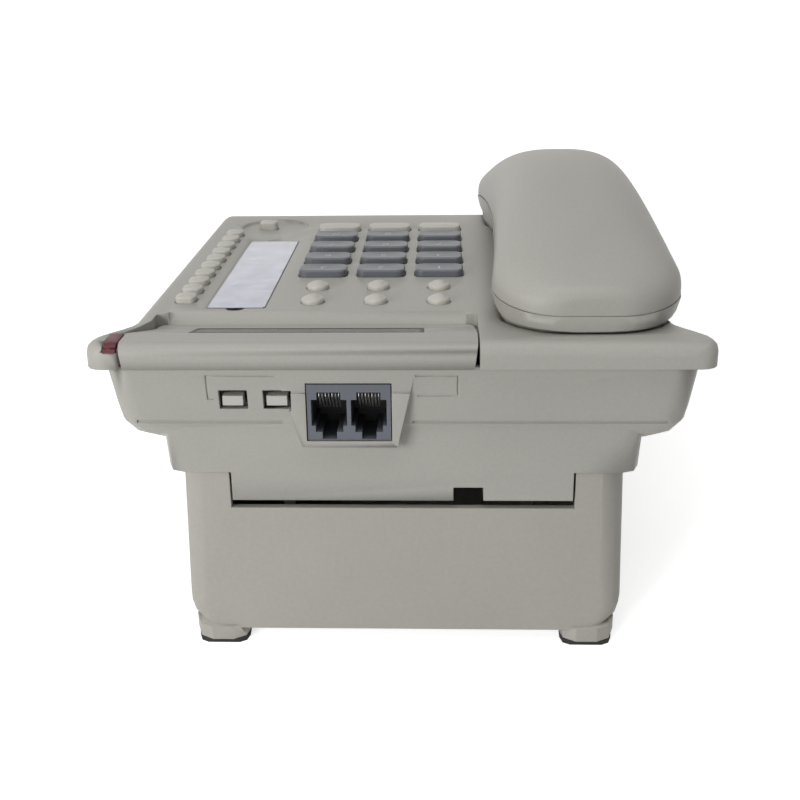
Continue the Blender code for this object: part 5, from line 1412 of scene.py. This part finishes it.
@dataclass
class LinePanel(Assembly):
    """Line jacks with their contact wires, and the slide switches."""

    jack_pitch: float = 0.0115
    wire_count: int = 7
    wire_pitch: float = 0.00095
    comb_slot_width: float = 0.00062
    comb_slot_reach: float = 1.5
    wire_size: float = 0.0005
    wire_bend: float = 0.6
    wire_hook: float = 1.6
    comb_drop: float = 0.0024
    comb_end_drop: float = 0.00465
    wire_front: float = 0.0012
    wire_reach: float = 0.0062
    wire_droop: float = 0.0044
    block_bend: float = 15.0

    def build(self) -> None:
        """Makes the jacks and the switches."""
        self.make_block()
        self.make_insert()
        self.dress("switch_housing", "switch_black")
        for name in ("switch_knob_left", "switch_knob_right"):
            self.dress(name, "light_keys", "knob")

    def make_block(self) -> None:
        """Jack block, with a comb slot for every contact wire."""
        jacks = self.deck.extent("line_jack_block")
        values = {
            "slots": self.wire_count,
            "pitch": self.wire_pitch,
            "width": self.comb_slot_width,
            "depth": self.comb_slot_reach * jacks.size.y,
            "height": self.comb_end_drop - self.comb_drop + GAP,
        }
        tree = GeometryTree("comb_slots", **values)
        bar = tree.bar(tree["width"], tree["depth"], tree["height"])
        tree.close(tree.on_points(tree.row(tree["slots"], tree["pitch"]), bar))
        piece = self.copy("line_jack_block")
        middle = jacks.high.z - (self.comb_drop + self.comb_end_drop + GAP) / 2
        for side in (-1, 1):
            cutter = tree.make("comb_slots", self.finishes["line_jack"])
            centre = Vector((jacks.centre.x + side * self.jack_pitch / 2, jacks.centre.y, middle))
            self.drill(piece, self.place(cutter, centre))
        self.fit(self.smooth(piece, self.block_bend), "line_jack_block", "jack_plastic", "line_jack")

    def make_insert(self) -> None:
        """Black insert behind the jacks and the contact wires that it carries."""
        jacks = self.deck.extent("line_jack_block")
        node = self.deck.extent("jack_insert")
        back = jacks.low.y - GAP
        size = Vector((node.size.x, back - node.low.y, node.size.z))
        centre = Vector((node.centre.x, (back + node.low.y) / 2, node.centre.z))
        insert = self.place(block("insert_plate", size, GAP), centre)
        self.fit(self.smooth(insert), "jack_insert", "insert", "insert")
        path = self.wire_path(jacks, size.y / 2)
        wires = self.wire_tree().make("contact_wires", self.finishes["contact"], path)
        self.add(self.smooth(self.place(wires, (jacks.centre.x, 0.0, 0.0))), "jack_insert", "steel")

    def wire_path(self, jacks: Extent, into_plate: float) -> Mesh:
        """Route of one wire: out of the plate, along its comb slot, round the front and down into the bore.

        Args:
            jacks: extent of the jack block.
            into_plate: how far the wire starts inside the insert.

        Returns:
            A mesh of three edges in the plane x = 0.
        """
        face, roof = jacks.high.y, jacks.high.z
        top = roof - self.comb_drop - self.wire_size / 2 - GAP
        front = face - self.wire_front + self.wire_size / 2
        route = [
            (0.0, jacks.low.y - GAP - into_plate, top),
            (0.0, front, top),
            (0.0, front, top - self.wire_hook * self.wire_size),
            (0.0, face - self.wire_reach, roof - self.comb_end_drop - self.wire_droop),
        ]
        return point_mesh("wire_path", route, True)

    def wire_tree(self) -> GeometryTree:
        """Tree that turns one route into round wires, side by side in each jack.

        Returns:
            The tree.
        """
        values = {
            "wires": self.wire_count,
            "wire_pitch": self.wire_pitch,
            "jack_pitch": self.jack_pitch,
            "radius": self.wire_size / 2,
            "bend": self.wire_size * self.wire_bend,
        }
        tree = GeometryTree("contact_wires", True, **values)
        wire = tree.tube(tree.filleted(tree.route(), tree["bend"], 5), tree["radius"], 10)
        for count, spacing in ((tree["wires"], tree["wire_pitch"]), (2, tree["jack_pitch"])):
            wire = tree.on_points(tree.row(count, spacing), wire)
        return tree.close(wire)


@dataclass(frozen=True)
class HandsetShape:
    """Driving sizes of the handset's back, from its rear end to its front end."""

    x: float = -0.0547
    rear: float = 0.0090
    length: float = 0.186
    end_half: float = 0.0282
    grip_half: float = 0.0250
    flare: float = 1.25
    end_top: float = 0.0126
    arch_top: float = 0.0360
    plan_radius: float = 0.020
    end_fillet: float = 0.0026
    seam_end: float = 0.0053
    seam_grip: float = 0.0135
    reveal: float = 0.0004
    bow: float = 2.8
    wall: float = 0.0020

    def inset(self, radius: float, distance: float) -> float:
        """How far an arc of this radius lies inside the corner, at a distance from its end.

        Args:
            radius: radius of the arc.
            distance: distance from the arc's end.

        Returns:
            The inset.
        """
        if distance >= radius:
            return 0.0
        return radius - math.sqrt(max(radius**2 - (radius - distance) ** 2, 0.0))

    def section(self, along: float) -> Triple:
        """Half width, seam height and crown height at a distance from the rear end.

        Args:
            along: distance from the rear end.

        Returns:
            The three sizes.
        """
        share = min(abs(along / self.length - 0.5) * 2, 1.0)
        from_end = (1 - share) * self.length / 2
        half = self.grip_half + (self.end_half - self.grip_half) * min(share * self.flare, 1.0) ** 2
        half -= self.inset(self.plan_radius, from_end)
        top = self.arch_top - (self.arch_top - self.end_top) * share * share
        top -= self.inset(self.end_fillet, from_end)
        seam = self.seam_grip + (self.seam_end - self.seam_grip) * share * share
        return half, seam, top


@dataclass
class Handset(Assembly):
    """Handset with its two shells, capsules and socket, and the hook plunger under it."""

    shape: HandsetShape = HandsetShape()
    stations: int = 112
    crown_steps: int = 22
    ear_reach: float = 0.0118
    ear_holes: int = 9
    mouth_reach: float = 0.0042
    mouth_holes: int = 3
    hole_pitch: float = 0.0030
    hole_radius: float = 0.0007
    socket_width: float = 0.0083
    socket_height: float = 0.0074
    socket_margin: float = 0.001
    shell_bend: float = 40.0

    def build(self) -> None:
        """Makes the handset."""
        self.make_back()
        self.make_face()
        self.dress("handset_receiver", "capsule")
        self.dress("handset_microphone", "capsule")
        self.dress("handset_cord_jack", "jack_plastic")
        self.dress("hook_plunger", "light_keys")

    def make_back(self) -> None:
        """Back shell: a bowed crown lofted along the handset, walled and cut for the cord socket."""
        shape = self.shape
        bm = bmesh.new()
        rings = []
        for k in range(self.stations + 1):
            along = shape.length * (1 - math.cos(math.pi * k / self.stations)) / 2
            rings.append([bm.verts.new(point) for point in self.crown(along)])
        for near, far in zip(rings, rings[1:]):
            for i in range(len(near) - 1):
                bm.faces.new((near[i], far[i], far[i + 1], near[i + 1]))
        bm.faces.new(rings[0])
        bm.faces.new(list(reversed(rings[-1])))
        bmesh.ops.recalc_face_normals(bm, faces=bm.faces)
        if sum(face.normal.z * face.calc_area() for face in bm.faces) < 0:
            bmesh.ops.reverse_faces(bm, faces=bm.faces)
        back = shape_object("handset_back", bm)
        wall = back.modifiers.new("wall", "SOLIDIFY")
        wall.thickness = shape.wall
        wall.offset = -1.0
        wall.use_even_offset = True
        self.place(settle(back))
        self.drill(back, self.socket_cutter())
        self.fit(self.smooth(back, self.shell_bend), "handset_back_shell", "casing", "casing")

    def crown(self, along: float) -> list[Vector]:
        """Points of one cross-section, from the right seam over the crown to the left seam.

        Args:
            along: distance from the rear end.

        Returns:
            Points in the deck's frame.
        """
        shape = self.shape
        half, seam, top = shape.section(along)
        low = seam + GAP / 2
        y = -shape.rear - along
        power = 2 / shape.bow
        sides = []
        for k in range(self.crown_steps + 1):
            angle = math.radians(90) * k / self.crown_steps
            reach = (half - shape.reveal * (1 - math.sin(angle))) * max(math.cos(angle), 0.0) ** power
            sides.append((reach, low + (top - low) * math.sin(angle) ** power))
        right = [Vector((shape.x + reach, y, z)) for reach, z in sides]
        left = [Vector((shape.x - reach, y, z)) for reach, z in reversed(sides[:-1])]
        return right + left

    def socket_cutter(self) -> Object:
        """Block that opens the back shell at the front end for the cord's plug.

        Returns:
            The block, in the world.
        """
        jack = self.deck.extent("handset_cord_jack")
        front = -self.shape.rear - self.shape.length
        x, z = self.shape.x, jack.centre.z
        width, height = self.socket_width, self.socket_height
        low = Vector((x - width / 2, front - self.socket_margin, z - height / 2))
        high = Vector((x + width / 2, jack.low.y - GAP, z + height / 2))
        return self.place(block("socket_cutter", high - low), (high + low) / 2)

    def make_face(self) -> None:
        """Face shell with sound holes through both caps."""
        face = self.copy("handset_face_shell")
        bottom = self.deck.extent("handset_face_shell").low.z
        pattern = self.hole_tree()
        for node, reach, count in (
            ("handset_receiver", self.ear_reach, self.ear_holes),
            ("handset_microphone", self.mouth_reach, self.mouth_holes),
        ):
            capsule = self.deck.extent(node)
            holes = pattern.make("sound_holes", self.finishes["casing"], reach=reach, count=count)
            self.place(holes, (capsule.centre.x, capsule.centre.y, bottom))
            self.drill(face, holes)
        self.fit(self.smooth(face, self.shell_bend), "handset_face_shell", "casing", "casing")

    def hole_tree(self) -> GeometryTree:
        """Tree of round cutters on a grid inside a circle, for sound holes.

        Returns:
            The tree.
        """
        values = {
            "reach": self.ear_reach,
            "count": self.ear_holes,
            "pitch": self.hole_pitch,
            "radius": self.hole_radius,
            "depth": 3 * self.shape.wall,
        }
        tree = GeometryTree("hole_pattern", **values)
        points = tree.grid([tree["count"]] * 2, [tree["pitch"]] * 2)
        place = tree.node("GeometryNodeInputPosition").outputs[0]
        distance = tree.node("ShaderNodeVectorMath", {0: place}, operation="LENGTH").outputs["Value"]
        inputs = {0: distance, 1: tree["reach"]}
        outside = tree.node("FunctionNodeCompare", inputs, operation="GREATER_THAN").outputs[0]
        inputs = {"Geometry": points, "Selection": outside}
        kept = tree.node("GeometryNodeDeleteGeometry", inputs, domain="POINT").outputs[0]
        return tree.close(tree.on_points(kept, tree.cylinder(16, tree["radius"], tree["depth"])))


def main() -> None:
    """Builds the studio and dresses every sub-assembly in turn."""
    logging.basicConfig(level=logging.INFO, format="%(message)s")
    Studio().build()
    deck = DeckFrame(frame["joints"])
    finishes = make_finishes(deck)
    for kind in (Casing, KeyField, Display, LinePanel, Handset):
        kind(deck, finishes).build()
        log.info("%s is done", kind.__name__)


if __name__ == "__main__":
    main()
